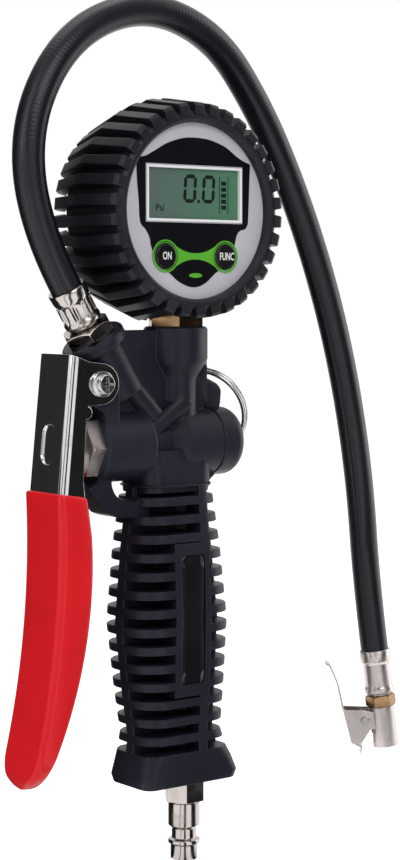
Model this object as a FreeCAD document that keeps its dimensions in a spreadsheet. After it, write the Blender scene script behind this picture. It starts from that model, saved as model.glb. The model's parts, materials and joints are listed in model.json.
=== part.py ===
import FreeCAD, Part
import math
import os
import re

import Sketcher
from FreeCAD import Placement, Rotation, Vector

# Tyre inflator gun with a digital gauge, a hose and a clip-on chuck.
# Millimetres. The origin is the centre of the air plug's tip, +Z up along the plug,
# the lever is on the -X side, the dial faces -Y and the valve's end cap is on the +X side.

doc = FreeCAD.newDocument("TyreInflator")
sheet = doc.addObject("Spreadsheet::Sheet", "Sizes")

# Driving dimensions: cell name, value, what it measures.
SIZES = [
    ("running_gap", 0.05, "radial clearance of a shaft in its bore"),
    ("seat_gap", 0.1, "clearance round a piece that is dropped into its seat"),
    ("moving_gap", 0.4, "clearance between parts that pass each other"),
    # air plug
    ("nose_radius", 5.05, "plug nose"),
    ("nose_length", 5.8, "plug nose"),
    ("nose_edge", 0.6, "chamfer of the nose"),
    ("ring_gap", 0.6, "groove between nose and ring"),
    ("ring_width", 1.4, "catch ring"),
    ("plug_radius", 6.0, "catch ring and plug body"),
    ("neck_radius", 4.65, "neck that the coupling balls hold"),
    ("neck_length", 3.6, "neck"),
    ("body_length", 9.4, "plug body above its cone"),
    ("plug_hex_flats", 14.0, "plug hexagon across flats"),
    ("plug_hex_length", 7.6, "plug hexagon"),
    ("plug_bore", 3.2, "air bore radius"),
    ("plug_thread", 6.4, "thread radius in the foot"),
    ("plug_thread_length", 10.0, "thread in the foot"),
    ("washer_radius", 8.6, "sealing washer"),
    ("washer_height", 1.1, "sealing washer"),
    # grip
    ("foot_height", 12.0, "foot under the ribbed grip"),
    ("foot_half_width", 22.0, "foot, along X"),
    ("foot_half_depth", 12.9, "foot, along Y"),
    ("foot_centre", -4.7, "foot centre in X"),
    ("grip_length", 100.0, "ribbed grip above the foot"),
    ("grip_half_width", 22.3, "grip at its widest, along X"),
    ("grip_half_depth", 15.5, "grip at its widest, along Y"),
    ("grip_centre", -8.0, "grip centre in X"),
    ("grip_corner", 11.5, "corner radius of the grip section"),
    ("ankle_half_width", 18.4, "grip at its ankle, along X"),
    ("ankle_half_depth", 12.9, "grip at its ankle, along Y"),
    ("wrist_half_width", 16.4, "grip at its top, along X"),
    ("wrist_half_depth", 12.6, "grip at its top, along Y"),
    ("fin_pitch", 6.8, "from one fin to the next"),
    ("fin_gap", 3.6, "open height between two fins"),
    ("fin_count", 15.0, "gaps between fins"),
    ("first_gap", 0.5, "first gap above the foot"),
    ("web_half", 2.3, "half thickness of the web behind the fins"),
    ("post_left", -2.7, "front post of the grip, left side"),
    ("post_right", 1.3, "front post of the grip, right side"),
    ("air_tube", 5.6, "radius of the air tube in the grip"),
    ("pad_left", -14.8, "label pad, left side"),
    ("pad_bottom", 65.0, "label pad"),
    ("pad_height", 57.0, "label pad"),
    ("label_width", 10.4, "label plate"),
    ("label_height", 47.8, "label plate"),
    ("label_thickness", 0.9, "label plate"),
    ("label_front", -14.6, "front face of the label plate"),
    # valve chamber, an axis along X
    ("valve_height", 158.0, "valve axis above the plug's tip"),
    ("chamber_left", -43.0, "left face of the valve chamber"),
    ("left_boss_radius", 13.0, "left boss"),
    ("left_boss_length", 22.3, "left boss"),
    ("waist_radius", 7.6, "neck between the bosses"),
    ("waist_length", 10.7, "neck between the bosses"),
    ("cone_length", 4.7, "cone up to the right boss"),
    ("right_boss_radius", 12.6, "right boss"),
    ("right_boss_length", 15.2, "right boss"),
    ("chamber_bore", 5.2, "valve chamber bore radius"),
    ("cap_radius", 12.8, "end cap"),
    ("cap_length", 11.0, "end cap"),
    ("cap_round", 4.6, "rounding of the end cap"),
    ("cap_thread", 9.0, "end cap spigot radius"),
    ("cap_thread_length", 9.0, "end cap spigot"),
    # valve
    ("nut_flats", 20.0, "valve nut across flats"),
    ("nut_length", 6.0, "valve nut"),
    ("nut_thread", 7.9, "valve nut spigot radius"),
    ("nut_thread_length", 10.0, "valve nut spigot"),
    ("stem_radius", 2.0, "valve stem"),
    ("stem_tip", -58.5, "end of the stem at the lever"),
    ("stem_button", 2.9, "radius of the stem's button"),
    ("disc_radius", 4.6, "valve disc"),
    ("disc_place", -12.0, "valve disc in X"),
    ("disc_width", 3.0, "valve disc"),
    ("seat_width", 3.0, "valve seat ring"),
    ("spring_radius", 3.5, "mean radius of the valve spring"),
    ("spring_wire", 0.45, "wire radius of the valve spring"),
    ("spring_turns", 5.0, "turns of the valve spring"),
    # gauge connection
    ("gauge_x", -3.8, "gauge stem axis in X"),
    ("gauge_neck", 7.6, "neck under the gauge boss"),
    ("gauge_boss", 11.9, "gauge boss radius"),
    ("gauge_boss_top", 201.2, "top of the gauge boss"),
    ("gauge_boss_length", 12.0, "cylinder of the gauge boss"),
    ("gauge_boss_cone", 7.5, "cone under the gauge boss"),
    ("gauge_passage", 2.5, "air passage radius"),
    ("gauge_hex_flats", 19.0, "brass hexagon across flats"),
    ("gauge_hex_length", 5.0, "brass hexagon"),
    ("gauge_thread", 6.4, "brass thread radius"),
    ("gauge_thread_length", 10.0, "brass thread"),
    # gauge
    ("dial_height", 243.3, "dial centre above the plug's tip"),
    ("dial_front", -11.8, "front plane of the dial plate"),
    ("dial_radius", 32.1, "dial plate"),
    ("dial_thickness", 0.9, "dial plate"),
    ("case_radius", 34.6, "gauge case"),
    ("case_wall", 1.8, "gauge case"),
    ("case_depth", 33.0, "gauge case"),
    ("boot_radius", 38.0, "rubber boot between its blocks"),
    ("boot_lip", 3.4, "boot lip in front of the dial"),
    ("boot_back", 26.5, "back face of the boot"),
    ("boot_opening", 24.0, "round opening in the back of the boot"),
    ("block_count", 32.0, "pitches of the blocks round the boot"),
    ("block_reach", 42.6, "radius over the blocks"),
    ("block_width", 4.9, "block along the rim"),
    ("battery_lid", 13.0, "battery cover radius"),
    ("lcd_half_width", 20.3, "visible display"),
    ("lcd_half_height", 8.6, "visible display"),
    ("lcd_height", 249.5, "display centre"),
    ("lcd_frame", 1.5, "white frame round the display"),
    ("button_offset", 13.7, "button from the dial's middle"),
    ("button_height", 226.8, "button centre"),
    ("button_radius", 4.7, "button"),
    ("button_proud", 1.3, "button in front of the dial plate"),
    ("button_travel", 0.6, "button stroke"),
    # hose fitting
    ("hose_tilt", 31.2, "hose boss leans from the vertical, degrees"),
    ("boss_face_x", -41.78, "centre of the hose boss face"),
    ("boss_face_z", 197.59, "centre of the hose boss face"),
    ("hose_boss_radius", 12.0, "hose boss collar"),
    ("hose_collar", 4.6, "hose boss collar length"),
    ("hose_trunk", 9.4, "hose boss below its collar"),
    ("hose_boss_length", 24.0, "hose boss"),
    ("hose_nut_flats", 17.0, "hose nut across flats"),
    ("hose_nut_length", 5.0, "hose nut"),
    ("ferrule_length", 15.7, "crimped ferrule"),
    ("ferrule_radius", 7.0, "crimped ferrule"),
    ("hose_thread", 5.6, "hose fitting thread radius"),
    ("hose_radius", 5.8, "hose"),
    # lever
    ("back_low_x", -71.6, "lever back, lower end of its curve"),
    ("back_low_z", 49.5, "lever back, lower end of its curve"),
    ("back_high_x", -62.45, "lever back, upper end of its curve"),
    ("back_high_z", 142.0, "lever back, upper end of its curve"),
    ("back_curve", 319.0, "curve of the lever back"),
    ("back_top_x", -57.3, "lever back, top"),
    ("back_top_z", 192.0, "lever back, top"),
    ("rim_high_x", -50.2, "lever rim, upper end of its curve"),
    ("rim_high_z", 128.0, "lever rim, upper end of its curve"),
    ("rim_low_x", -67.6, "lever rim, lower end of its curve"),
    ("rim_low_z", 45.3, "lever rim, lower end of its curve"),
    ("rim_curve", 157.0, "curve of the lever rim"),
    ("lever_end", 37.8, "lower end of the lever"),
    ("dimple_radius", 4.0, "pressed dimple that meets the stem"),
    ("dimple_rise", 3.2, "half distance of the dimple's centres"),
    ("dimple_depth", 0.8, "pressed dimple"),
    ("pivot_x", -44.8, "lever pivot"),
    ("pivot_z", 181.2, "lever pivot"),
    ("pivot_radius", 2.5, "lever pivot screw"),
    ("lever_half_width", 11.2, "lever over its flanges"),
    ("lever_sheet", 1.2, "lever sheet"),
    ("lever_fold", 3.2, "outer radius of the folds above the sleeve"),
    ("ear_radius", 7.4, "lever ear round the pivot"),
    ("sleeve_coat", 0.8, "thickness of the lever sleeve"),
    ("sleeve_top", 142.5, "upper edge of the lever sleeve"),
    ("screw_flange", 4.6, "flange of the pivot screw"),
    ("screw_head", 3.6, "head of the pivot screw"),
    ("bracket_right", -36.0, "pivot bracket, right side"),
    ("bracket_left", -50.0, "pivot bracket, left side"),
    # hanging ring, in a frame turned to face the hose side
    ("ring_turn", -37.6, "ring plane about Z, degrees"),
    ("ring_radius", 17.0, "mean radius of the split ring"),
    ("ring_wire", 0.9, "wire radius of the split ring"),
    ("ring_eye_along", 6.2, "eye along the ring plane"),
    ("ring_eye_back", 22.6, "eye behind the plug axis"),
    ("ring_eye_height", 184.8, "eye centre"),
    ("ring_eye_radius", 2.7, "eye"),
    # chuck, in a frame on the hose end
    ("chuck_x", 120.1, "hose end"),
    ("chuck_y", 25.0, "hose end"),
    ("chuck_z", 63.3, "hose end"),
    ("chuck_lean", 7.0, "chuck leans from the vertical, degrees"),
    ("tail_ferrule", 19.3, "ferrule length at the chuck"),
    ("tail_ferrule_radius", 6.5, "ferrule radius at the chuck"),
    ("chuck_hex_flats", 11.2, "chuck hexagon across flats"),
    ("chuck_hex_length", 4.7, "chuck hexagon"),
    ("barrel_radius", 5.45, "chuck housing"),
    ("barrel_length", 17.0, "chuck housing"),
    ("mouth_radius", 4.1, "mouth for the tyre valve"),
    ("mouth_depth", 8.0, "mouth for the tyre valve"),
    ("hose_grip", 8.0, "hose inside the crimped ferrule"),
    ("tail_grip", 4.0, "hose inside the chuck ferrule"),
    ("rivet_offset", 7.8, "lever rivet from the chuck axis"),
    ("rivet_drop", 29.0, "lever rivet below the hose end"),
    ("rivet_radius", 1.1, "lever rivet"),
    ("clip_sheet", 0.7, "sheet of the chuck lever"),
    ("ear_inner", 3.2, "inner face of the housing ears"),
    ("ear_sheet", 0.7, "sheet of the housing ears"),
]

for row, (alias, amount, meaning) in enumerate(SIZES, start=1):
    sheet.set("A%d" % row, alias)
    sheet.set("B%d" % row, "%g" % amount)
    sheet.set("C%d" % row, meaning)
    sheet.setAlias("B%d" % row, alias)
doc.recompute()

CELL_NAMES = {alias for alias, amount, meaning in SIZES}
X_AXIS = Vector(1, 0, 0)
Y_AXIS = Vector(0, 1, 0)
Z_AXIS = Vector(0, 0, 1)
SUB_PARTS = []


def tied(text):
    """The expression with the sheet's name put before each of its cells."""
    return re.sub(r"[a-z_]+", lambda m: "Sizes." + m.group() if m.group() in CELL_NAMES else m.group(), text)


def value(text):
    """The number that an expression of sheet cells has now."""
    return float(sheet.evalExpression(tied(text)))


def bind(item, path, text):
    item.setExpression(path, tied(text))


def place(item, x="0", y="0", z="0", turn=None):
    """Tie an object's place to the sheet, after a fixed turn."""
    if turn is not None:
        item.Placement = Placement(Vector(0, 0, 0), turn)
    bind(item, ".Placement.Base.x", x)
    bind(item, ".Placement.Base.y", y)
    bind(item, ".Placement.Base.z", z)
    return item


def seat(item, frame, x="0", y="0", z="0", turn=Rotation()):
    """Put an object at a place of a tilted frame."""
    item.Placement = frame.multiply(Placement(Vector(value(x), value(y), value(z)), turn))
    return item


def keep(item, label):
    """Name an object as a sub-part of the inflator."""
    item.Label = label
    SUB_PARTS.append(item)
    return item


def box(name, length, width, height):
    item = doc.addObject("Part::Box", name)
    bind(item, "Length", length)
    bind(item, "Width", width)
    bind(item, "Height", height)
    return item


def cylinder(name, radius, height):
    item = doc.addObject("Part::Cylinder", name)
    bind(item, "Radius", radius)
    bind(item, "Height", height)
    return item


def hexagon(name, flats, height):
    item = doc.addObject("Part::Prism", name)
    item.Polygon = 6
    bind(item, "Circumradius", "(%s) / sqrt(3)" % flats)
    bind(item, "Height", height)
    return item


def fused(name, *pieces):
    item = doc.addObject("Part::MultiFuse", name)
    item.Shapes = list(pieces)
    item.Refine = True
    return item


def group(name, *pieces):
    item = doc.addObject("Part::Compound", name)
    item.Links = list(pieces)
    return item


def cut(name, base, *tools):
    item = doc.addObject("Part::Cut", name)
    item.Base = base
    if len(tools) > 1:
        joined = fused(name + "Tools", *tools)
        joined.Refine = False
        tools = [joined]
    item.Tool = tools[0]
    item.Refine = True
    return item


def common(name, first, second):
    item = doc.addObject("Part::MultiCommon", name)
    item.Shapes = [first, second]
    item.Refine = True
    return item


def sketch(body, name, role, corners, height=None):
    """A closed outline on one of the body's planes, each corner tied to the sheet.

    A corner is (across, up), or (across, up, radius, side) where an arc of that radius
    leads to the next corner, bulging to the right of the path for side 1 and left for -1.
    """
    item = body.newObject("Sketcher::SketchObject", name)
    plane = [p for p in body.Origin.OriginFeatures if p.Role == role][0]
    item.AttachmentSupport = [(plane, "")]
    item.MapMode = "FlatFace"
    if height is not None:
        bind(item, ".AttachmentOffset.Base.z", height)
    spots = [Vector(value(c[0]), value(c[1]), 0) for c in corners]
    ends = []
    for i, corner in enumerate(corners):
        start, stop = spots[i], spots[(i + 1) % len(spots)]
        if len(corner) == 4:
            radius = value(corner[2])
            chord = stop - start
            rise = radius - math.sqrt(max(radius ** 2 - (chord.Length / 2) ** 2, 0.0))
            right = Vector(chord.y, -chord.x, 0).normalize()
            middle = (start + stop) * 0.5 + right * (rise * corner[3])
            item.addGeometry(Part.Arc(start, middle, stop), False)
        else:
            item.addGeometry(Part.LineSegment(start, stop), False)
        first = item.getPoint(i, 1)
        ends.append((1, 2) if (first - start).Length < (first - stop).Length else (2, 1))
    for i in range(len(corners)):
        after = (i + 1) % len(corners)
        item.addConstraint(Sketcher.Constraint("Coincident", i, ends[i][1], after, ends[after][0]))
    for i, corner in enumerate(corners):
        for kind, text, now in (("DistanceX", corner[0], spots[i].x), ("DistanceY", corner[1], spots[i].y)):
            k = item.addConstraint(Sketcher.Constraint(kind, -1, 1, i, ends[i][0], now))
            bind(item, "Constraints[%d]" % k, text)
        if len(corner) == 4:
            k = item.addConstraint(Sketcher.Constraint("Radius", i, value(corner[2])))
            bind(item, "Constraints[%d]" % k, corner[2])
    return item


def turned(name, corners):
    """A body turned about its own Z axis; a corner is (radius, height)."""
    body = doc.addObject("PartDesign::Body", name)
    outline = sketch(body, name + "Outline", "XZ_Plane", corners)
    feature = body.newObject("PartDesign::Revolution", name + "Turned")
    feature.Profile = outline
    feature.ReferenceAxis = (outline, ["V_Axis"])
    feature.Angle = 360
    return body


def plate(name, corners, thickness, role="XZ_Plane"):
    """A flat body, as thick on both sides of its plane."""
    body = doc.addObject("PartDesign::Body", name)
    outline = sketch(body, name + "Outline", role, corners)
    feature = body.newObject("PartDesign::Pad", name + "Pad")
    feature.Profile = outline
    feature.SideType = "Symmetric"
    bind(feature, "Length", thickness)
    return body


def rounded_section(body, name, height, centre, half_x, half_y, corner):
    """A rectangle with round corners, level, for a loft."""
    left, right = "%s - (%s)" % (centre, half_x), "%s + (%s)" % (centre, half_x)
    low, high = "-(%s)" % half_y, "%s" % half_y
    return sketch(body, name, "XY_Plane", [
        (left + " + " + corner, low), (right + " - " + corner, low, corner, 1),
        (right, low + " + " + corner), (right, high + " - " + corner, corner, 1),
        (right + " - " + corner, high), (left + " + " + corner, high, corner, 1),
        (left, high + " - " + corner), (left, low + " + " + corner, corner, 1),
    ], height)


def lofted(name, sections):
    """A body lofted through level sections, each (height, centre, half x, half y, corner)."""
    body = doc.addObject("PartDesign::Body", name)
    outlines = [rounded_section(body, "%sSection%d" % (name, i), *s) for i, s in enumerate(sections)]
    feature = body.newObject("PartDesign::AdditiveLoft", name + "Loft")
    feature.Profile = outlines[0]
    feature.Sections = outlines[1:]
    feature.Ruled = True
    return body


def rounded_path(route, share):
    """Straight runs joined by tangent arcs; each arc takes a share of its shorter run."""
    edges, spot, length, bends = [], route[0], 0.0, []
    for before, here, after in zip(route, route[1:], route[2:]):
        into, out = here - before, after - here
        turn = into.getAngle(out)
        reach = share * min(into.Length, out.Length)
        bend = reach / math.tan(turn / 2)
        start = here - into.normalize() * reach
        stop = here + out.normalize() * reach
        middle = (start + stop) * 0.5
        crown = middle + (here - middle).normalize() * (bend * (1 - math.cos(turn / 2)))
        if (start - spot).Length > 1e-4:
            edges.append(Part.makeLine(spot, start))
            length += (start - spot).Length
        edges.append(Part.Arc(start, crown, stop).toShape())
        length += bend * turn
        bends.append(bend)
        spot = stop
    if (route[-1] - spot).Length > 1e-4:
        edges.append(Part.makeLine(spot, route[-1]))
        length += (route[-1] - spot).Length
    return edges, length, bends


def swept(name, route, radius, sides, share=0.45):
    """A tube with a many-sided section along a route, its volume set against section times length."""
    edges, length, bends = rounded_path(route, share)
    heading = (route[1] - route[0]).normalize()
    across = heading.cross(X_AXIS if abs(heading.x) < 0.9 else Y_AXIS).normalize()
    up = heading.cross(across)
    angles = [2 * math.pi * (i + 0.5) / sides for i in range(sides)]
    ring = [route[0] + across * (radius * math.cos(a)) + up * (radius * math.sin(a)) for a in angles]
    profile = Part.makePolygon(ring + ring[:1])
    item = doc.addObject("Part::Feature", name)
    item.Shape = Part.Wire(edges).makePipeShell([profile], True, False)
    section = sides / 2 * math.sin(2 * math.pi / sides) * radius ** 2
    print("%s length %.1f, least bend %.1f, volume %.1f, section times length %.1f" % (
        name, length, min(bends), item.Shape.Volume, section * length))
    return item


def coil(name, radius, wire, turns, length, frame):
    """A wire wound along its frame's Z axis, each quarter turn two arcs."""
    per_turn = 8
    step = 2 * math.pi / per_turn
    rise = length / turns / per_turn
    reach = radius / math.cos(step / 2)
    count = int(turns * per_turn)
    corners = [Vector(reach * math.cos(i * step), reach * math.sin(i * step), i * rise) for i in range(count + 1)]
    first = (corners[0] + corners[1]) * 0.5
    last = (corners[-1] + corners[-2]) * 0.5
    route = [first] + corners[1:-1] + [last]
    item = swept(name, route, wire, 8 if wire > 0.5 else 4, 0.5)
    item.Placement = frame
    points = [point for edge in rounded_path(route, 0.5)[0] for point in edge.discretize(5)[:-1]]
    half_turn = per_turn * 2
    apart = min((a - b).Length for i, a in enumerate(points) for b in points[i + half_turn:])
    print("%s least gap between turns %.2f" % (name, apart - 2 * wire))
    return item


# Frames
ALONG_X = Rotation(Y_AXIS, 90)
TOWARDS_FRONT = Rotation(X_AXIS, 90)
PLUG_BODY_TOP = "(nose_length + ring_gap + ring_width + neck_length + 1.9 + body_length)"
HEX_TOP = "(%s + plug_hex_length)" % PLUG_BODY_TOP
FOOT_BOTTOM = "(%s + washer_height)" % HEX_TOP
GRIP_BOTTOM = "(%s + foot_height)" % FOOT_BOTTOM
hose_frame = Placement(Vector(value("boss_face_x"), 0, value("boss_face_z")), Rotation(Y_AXIS, -value("hose_tilt")))
ring_frame = Placement(Vector(0, 0, 0), Rotation(Z_AXIS, value("ring_turn")))
chuck_frame = Placement(
    Vector(value("chuck_x"), value("chuck_y"), value("chuck_z")),
    Rotation(Z_AXIS, value("ring_turn")).multiply(Rotation(Y_AXIS, -value("chuck_lean"))))

# Air plug
RING_START = "(nose_length + ring_gap)"
NECK_START = "(%s + ring_width)" % RING_START
NECK_END = "(%s + 0.6 + neck_length)" % NECK_START
plug_turned = turned("PlugTurned", [
    ("0", "0"), ("nose_radius - nose_edge", "0"), ("nose_radius", "nose_edge"),
    ("nose_radius", "nose_length"), ("nose_radius - 0.8", "nose_length"), ("nose_radius - 0.8", RING_START),
    ("plug_radius", RING_START), ("plug_radius", NECK_START), ("neck_radius", NECK_START + " + 0.6"),
    ("neck_radius", NECK_END), ("plug_radius", NECK_END + " + 1.3"), ("plug_radius", PLUG_BODY_TOP + " - 0.8"),
    ("plug_radius - 0.6", PLUG_BODY_TOP + " - 0.8"), ("plug_radius - 0.6", HEX_TOP),
    ("plug_thread", HEX_TOP), ("plug_thread", HEX_TOP + " + plug_thread_length"),
    ("0", HEX_TOP + " + plug_thread_length")])
plug_hex = place(hexagon("PlugHex", "plug_hex_flats", "plug_hex_length"), z=PLUG_BODY_TOP)
plug_bore = place(cylinder("PlugBore", "plug_bore", "60"), z="-5")
keep(cut("AirPlug", fused("PlugBlank", plug_turned, plug_hex), plug_bore), "air_plug")
washer_blank = place(cylinder("WasherBlank", "washer_radius", "washer_height"), z=HEX_TOP)
washer_hole = place(cylinder("WasherHole", "plug_thread + running_gap", "10"), z=HEX_TOP + " - 5")
keep(cut("PlugWasher", washer_blank, washer_hole), "plug_washer")

# Grip and foot
MIDDLE = "(%s + grip_length * 0.48)" % GRIP_BOTTOM


def grip_level(share):
    return "(%s + grip_length * %g)" % (GRIP_BOTTOM, share)


GRIP_START = (GRIP_BOTTOM, "(grip_centre + 2.2)", "(ankle_half_width + 1.2)", "(ankle_half_depth + 0.2)",
              "(grip_corner - 4)")
grip_outer = lofted("GripOuter", [
    GRIP_START,
    (grip_level(0.07), "(grip_centre + 1.5)", "ankle_half_width", "ankle_half_depth", "(grip_corner - 2.5)"),
    (grip_level(0.24), "(grip_centre + 0.8)", "(grip_half_width - 2.1)", "(grip_half_depth - 1)",
     "(grip_corner - 0.8)"),
    (grip_level(0.49), "grip_centre", "grip_half_width", "grip_half_depth", "grip_corner"),
    (grip_level(0.76), "(grip_centre - 0.3)", "(grip_half_width - 2.7)", "(grip_half_depth - 1)",
     "(grip_corner - 0.8)"),
    (grip_level(1), "(grip_centre - 0.5)", "wrist_half_width", "wrist_half_depth", "(grip_corner - 2)")])
foot = lofted("Foot", [
    (FOOT_BOTTOM, "foot_centre", "(foot_half_width - 0.8)", "(foot_half_depth - 0.6)", "4.5"),
    ("(%s + foot_height * 0.25)" % FOOT_BOTTOM, "foot_centre", "foot_half_width", "foot_half_depth", "4.5"),
    ("(%s + foot_height * 0.7)" % FOOT_BOTTOM, "(foot_centre - 0.5)", "(foot_half_width - 1.3)",
     "(foot_half_depth - 0.1)", "6"),
    GRIP_START])
gaps = []
for i in range(int(value("fin_count"))):
    gap = box("FinGap%d" % i, "120", "80", "fin_gap")
    gaps.append(place(gap, "-70", "-40", "%s + first_gap + %d * fin_pitch" % (GRIP_BOTTOM, i)))
fins = cut("Fins", grip_outer, group("FinGaps", *gaps))
web = place(box("Web", "120", "2 * web_half", "grip_length"), "-70", "-web_half", GRIP_BOTTOM)
post = place(box("Post", "post_right - post_left", "80", "grip_length"), "post_left", "-40", GRIP_BOTTOM)
pad = place(box("LabelPad", "post_right - pad_left", "40", "pad_height"), "pad_left", "-40", "pad_bottom")
tube = place(cylinder("AirTube", "air_tube", "grip_length"), z=GRIP_BOTTOM)
spine = common("GripSpine", grip_outer, fused("GripSpineBlanks", web, post, pad, tube))

# Valve chamber with its bosses
CHAMBER_RIGHT = "(chamber_left + left_boss_length + waist_length + cone_length + right_boss_length)"
chamber = turned("Chamber", [
    ("0", "0"), ("left_boss_radius - 1", "0"), ("left_boss_radius", "1"),
    ("left_boss_radius", "left_boss_length - 1"), ("left_boss_radius - 1", "left_boss_length"),
    ("waist_radius", "left_boss_length"), ("waist_radius", "left_boss_length + waist_length"),
    ("right_boss_radius", "left_boss_length + waist_length + cone_length"),
    ("right_boss_radius", "%s - chamber_left" % CHAMBER_RIGHT), ("0", "%s - chamber_left" % CHAMBER_RIGHT)])
place(chamber, "chamber_left", "0", "valve_height", ALONG_X)
gauge_stand = turned("GaugeStand", [
    ("0", "valve_height"), ("gauge_neck", "valve_height"),
    ("gauge_neck", "gauge_boss_top - gauge_boss_length - gauge_boss_cone"),
    ("gauge_boss", "gauge_boss_top - gauge_boss_length"), ("gauge_boss", "gauge_boss_top - 0.8"),
    ("gauge_boss - 0.8", "gauge_boss_top"), ("0", "gauge_boss_top")])
place(gauge_stand, "gauge_x")
hose_boss = seat(turned("HoseBoss", [
    ("0", "-hose_boss_length"), ("hose_trunk", "-hose_boss_length"), ("hose_trunk", "-hose_collar"),
    ("hose_boss_radius - 0.8", "-hose_collar"), ("hose_boss_radius", "-hose_collar + 0.8"),
    ("hose_boss_radius", "-0.8"), ("hose_boss_radius - 0.8", "0"), ("0", "0")]), hose_frame)

# Bracket that carries the lever pivot, between the lever's flanges
BRACKET_HALF = "(lever_half_width - lever_sheet - moving_gap)"
bracket = plate("Bracket", [
    ("chamber_left + 0.5", "valve_height"), ("bracket_right", "valve_height"),
    ("bracket_right", "pivot_z - 1"), ("bracket_right - 4.4", "pivot_z + 5.6"), ("bracket_left + 2.6", "pivot_z + 5.6"),
    ("bracket_left", "pivot_z + 2.4"), ("bracket_left", "pivot_z - 6"), ("chamber_left + 0.5", "valve_height + 12.6")], "2 * " + BRACKET_HALF)

# Web between hose boss, gauge boss and valve chamber, with a rounded passage on its front
side_web = plate("SideWeb", [
    ("bracket_right - 1", "valve_height"), ("gauge_x", "valve_height"), ("gauge_x", "gauge_boss_top - 1.2"),
    ("boss_face_x + 11.5", "gauge_boss_top - 1.2"), ("bracket_right - 1", "gauge_boss_top - 9")], "7")
passage_down = place(cylinder("PassageDown", "4.6", "30"), "-37", "-2.4", "190.5", Rotation(Y_AXIS, 137))
passage_up = place(cylinder("PassageUp", "4.3", "26"), "-25", "-3.6", "159.5", Rotation(Y_AXIS, 58))

# Handle top and the fillet under the right boss
handle_top = lofted("HandleTop", [
    ("(%s + grip_length - 3)" % GRIP_BOTTOM, "(grip_centre - 0.5)", "(wrist_half_width - 1.6)",
     "(wrist_half_depth - 2)", "6"),
    ("(%s + grip_length + 4)" % GRIP_BOTTOM, "(grip_centre - 0.5)", "(wrist_half_width - 1.2)",
     "(wrist_half_depth - 1.6)", "6"),
    ("(valve_height - 2)", "(grip_centre - 0.5)", "(wrist_half_width - 0.6)", "(wrist_half_depth - 2.6)", "6")])
knee = plate("Knee", [
    ("0", "valve_height - 8"), ("0", "valve_height - 22"), ("4.2", "valve_height - 22", "11", -1),
    (CHAMBER_RIGHT + " - 0.3", "valve_height - 12.4"), (CHAMBER_RIGHT + " - 0.3", "valve_height - 8")], "13")

# Guard loop behind the lever
loop = plate("GuardLoop", [
    ("chamber_left + 0.4", "valve_height - 4"), ("chamber_left + 0.2", "valve_height - 12.4"),
    ("-47.2", "valve_height - 14.5"), ("-38.5", "valve_height - 24", "17", 1),
    ("-31", "valve_height - 26"), ("-20", "valve_height - 26"), ("-20", "valve_height - 20"),
    ("-29.5", "valve_height - 20", "7.6", -1), ("-36.8", "valve_height - 13"), ("-36.8", "valve_height - 4")],
    "11.6")

# Eye for the hanging ring
eye_plate = doc.addObject("PartDesign::Body", "RingEye")
eye_outline = sketch(eye_plate, "RingEyeOutline", "YZ_Plane", [
    ("2", "ring_eye_height - 12"), ("ring_eye_back - 6", "ring_eye_height - 9"),
    ("ring_eye_back", "ring_eye_height - 4.6", "4.61", 1), ("ring_eye_back", "ring_eye_height + 4.6"),
    ("2", "ring_eye_height + 2")])
eye_pad = eye_plate.newObject("PartDesign::Pad", "RingEyePad")
eye_pad.Profile = eye_outline
eye_pad.SideType = "Symmetric"
eye_pad.Length = 5
seat(eye_plate, ring_frame, "ring_eye_along")

# Gusset between the gauge neck and the right boss
gusset = plate("Gusset", [
    ("gauge_x", "valve_height"), (CHAMBER_RIGHT + " - 2.5", "valve_height + 8"),
    (CHAMBER_RIGHT + " - 2.5", "valve_height + 16"), ("gauge_x + 9", "valve_height + 24"),
    ("gauge_x", "valve_height + 28")], "6")

body_blank = fused("BodyBlank", fins, spine, foot, chamber, gauge_stand, hose_boss, bracket, side_web,
                   passage_down, passage_up, handle_top, knee, loop, eye_plate, gusset)

# Bores and recesses of the body
LABEL_LEFT = "(pad_left + post_right) / 2 - label_width / 2 + 0.3"
bores = [
    place(cylinder("PlugSocket", "plug_thread + running_gap", "plug_thread_length + washer_height"),
          z=HEX_TOP),
    place(cylinder("AirWay", "plug_bore", "valve_height - 30"), z="32"),
    place(cylinder("ChamberBore", "chamber_bore", "%s - chamber_left - 2" % CHAMBER_RIGHT),
          "chamber_left + 2", "0", "valve_height", ALONG_X),
    place(cylinder("NutSocket", "nut_thread + running_gap", "nut_thread_length"),
          "chamber_left", "0", "valve_height", ALONG_X),
    place(cylinder("CapSocket", "cap_thread + running_gap", "cap_thread_length"),
          "%s - cap_thread_length" % CHAMBER_RIGHT, "0", "valve_height", ALONG_X),
    place(cylinder("GaugeWay", "gauge_passage", "gauge_boss_top - valve_height - 13"), "gauge_x", "0",
          "valve_height + 13"),
    place(cylinder("CrossWay", "1.8", "22"), "gauge_x", "0", "valve_height + 14.5", Rotation(Y_AXIS, 229)),
    place(cylinder("GaugeSocket", "gauge_thread + running_gap", "gauge_thread_length"),
          "gauge_x", "0", "gauge_boss_top - gauge_thread_length"),
    seat(cylinder("HoseWay", "2.5", "45"), hose_frame, z="-45"),
    seat(cylinder("HoseSocket", "hose_thread + running_gap", "9"), hose_frame, z="-9"),
    place(cylinder("PivotBore", "pivot_radius + 1.1 + running_gap", "60"), "pivot_x", "30", "pivot_z", TOWARDS_FRONT),
    place(box("LabelSeat", "label_width + 2 * seat_gap", "20", "label_height + 2 * seat_gap"),
          LABEL_LEFT + " - seat_gap", "label_front + label_thickness - 20",
          "pad_bottom + pad_height / 2 - label_height / 2 - seat_gap"),
    seat(cylinder("RingHole", "ring_eye_radius", "40"), ring_frame, "ring_eye_along - 20", "ring_eye_back",
         "ring_eye_height", ALONG_X),
]
keep(cut("GunBody", body_blank, *bores), "gun_body")

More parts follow.
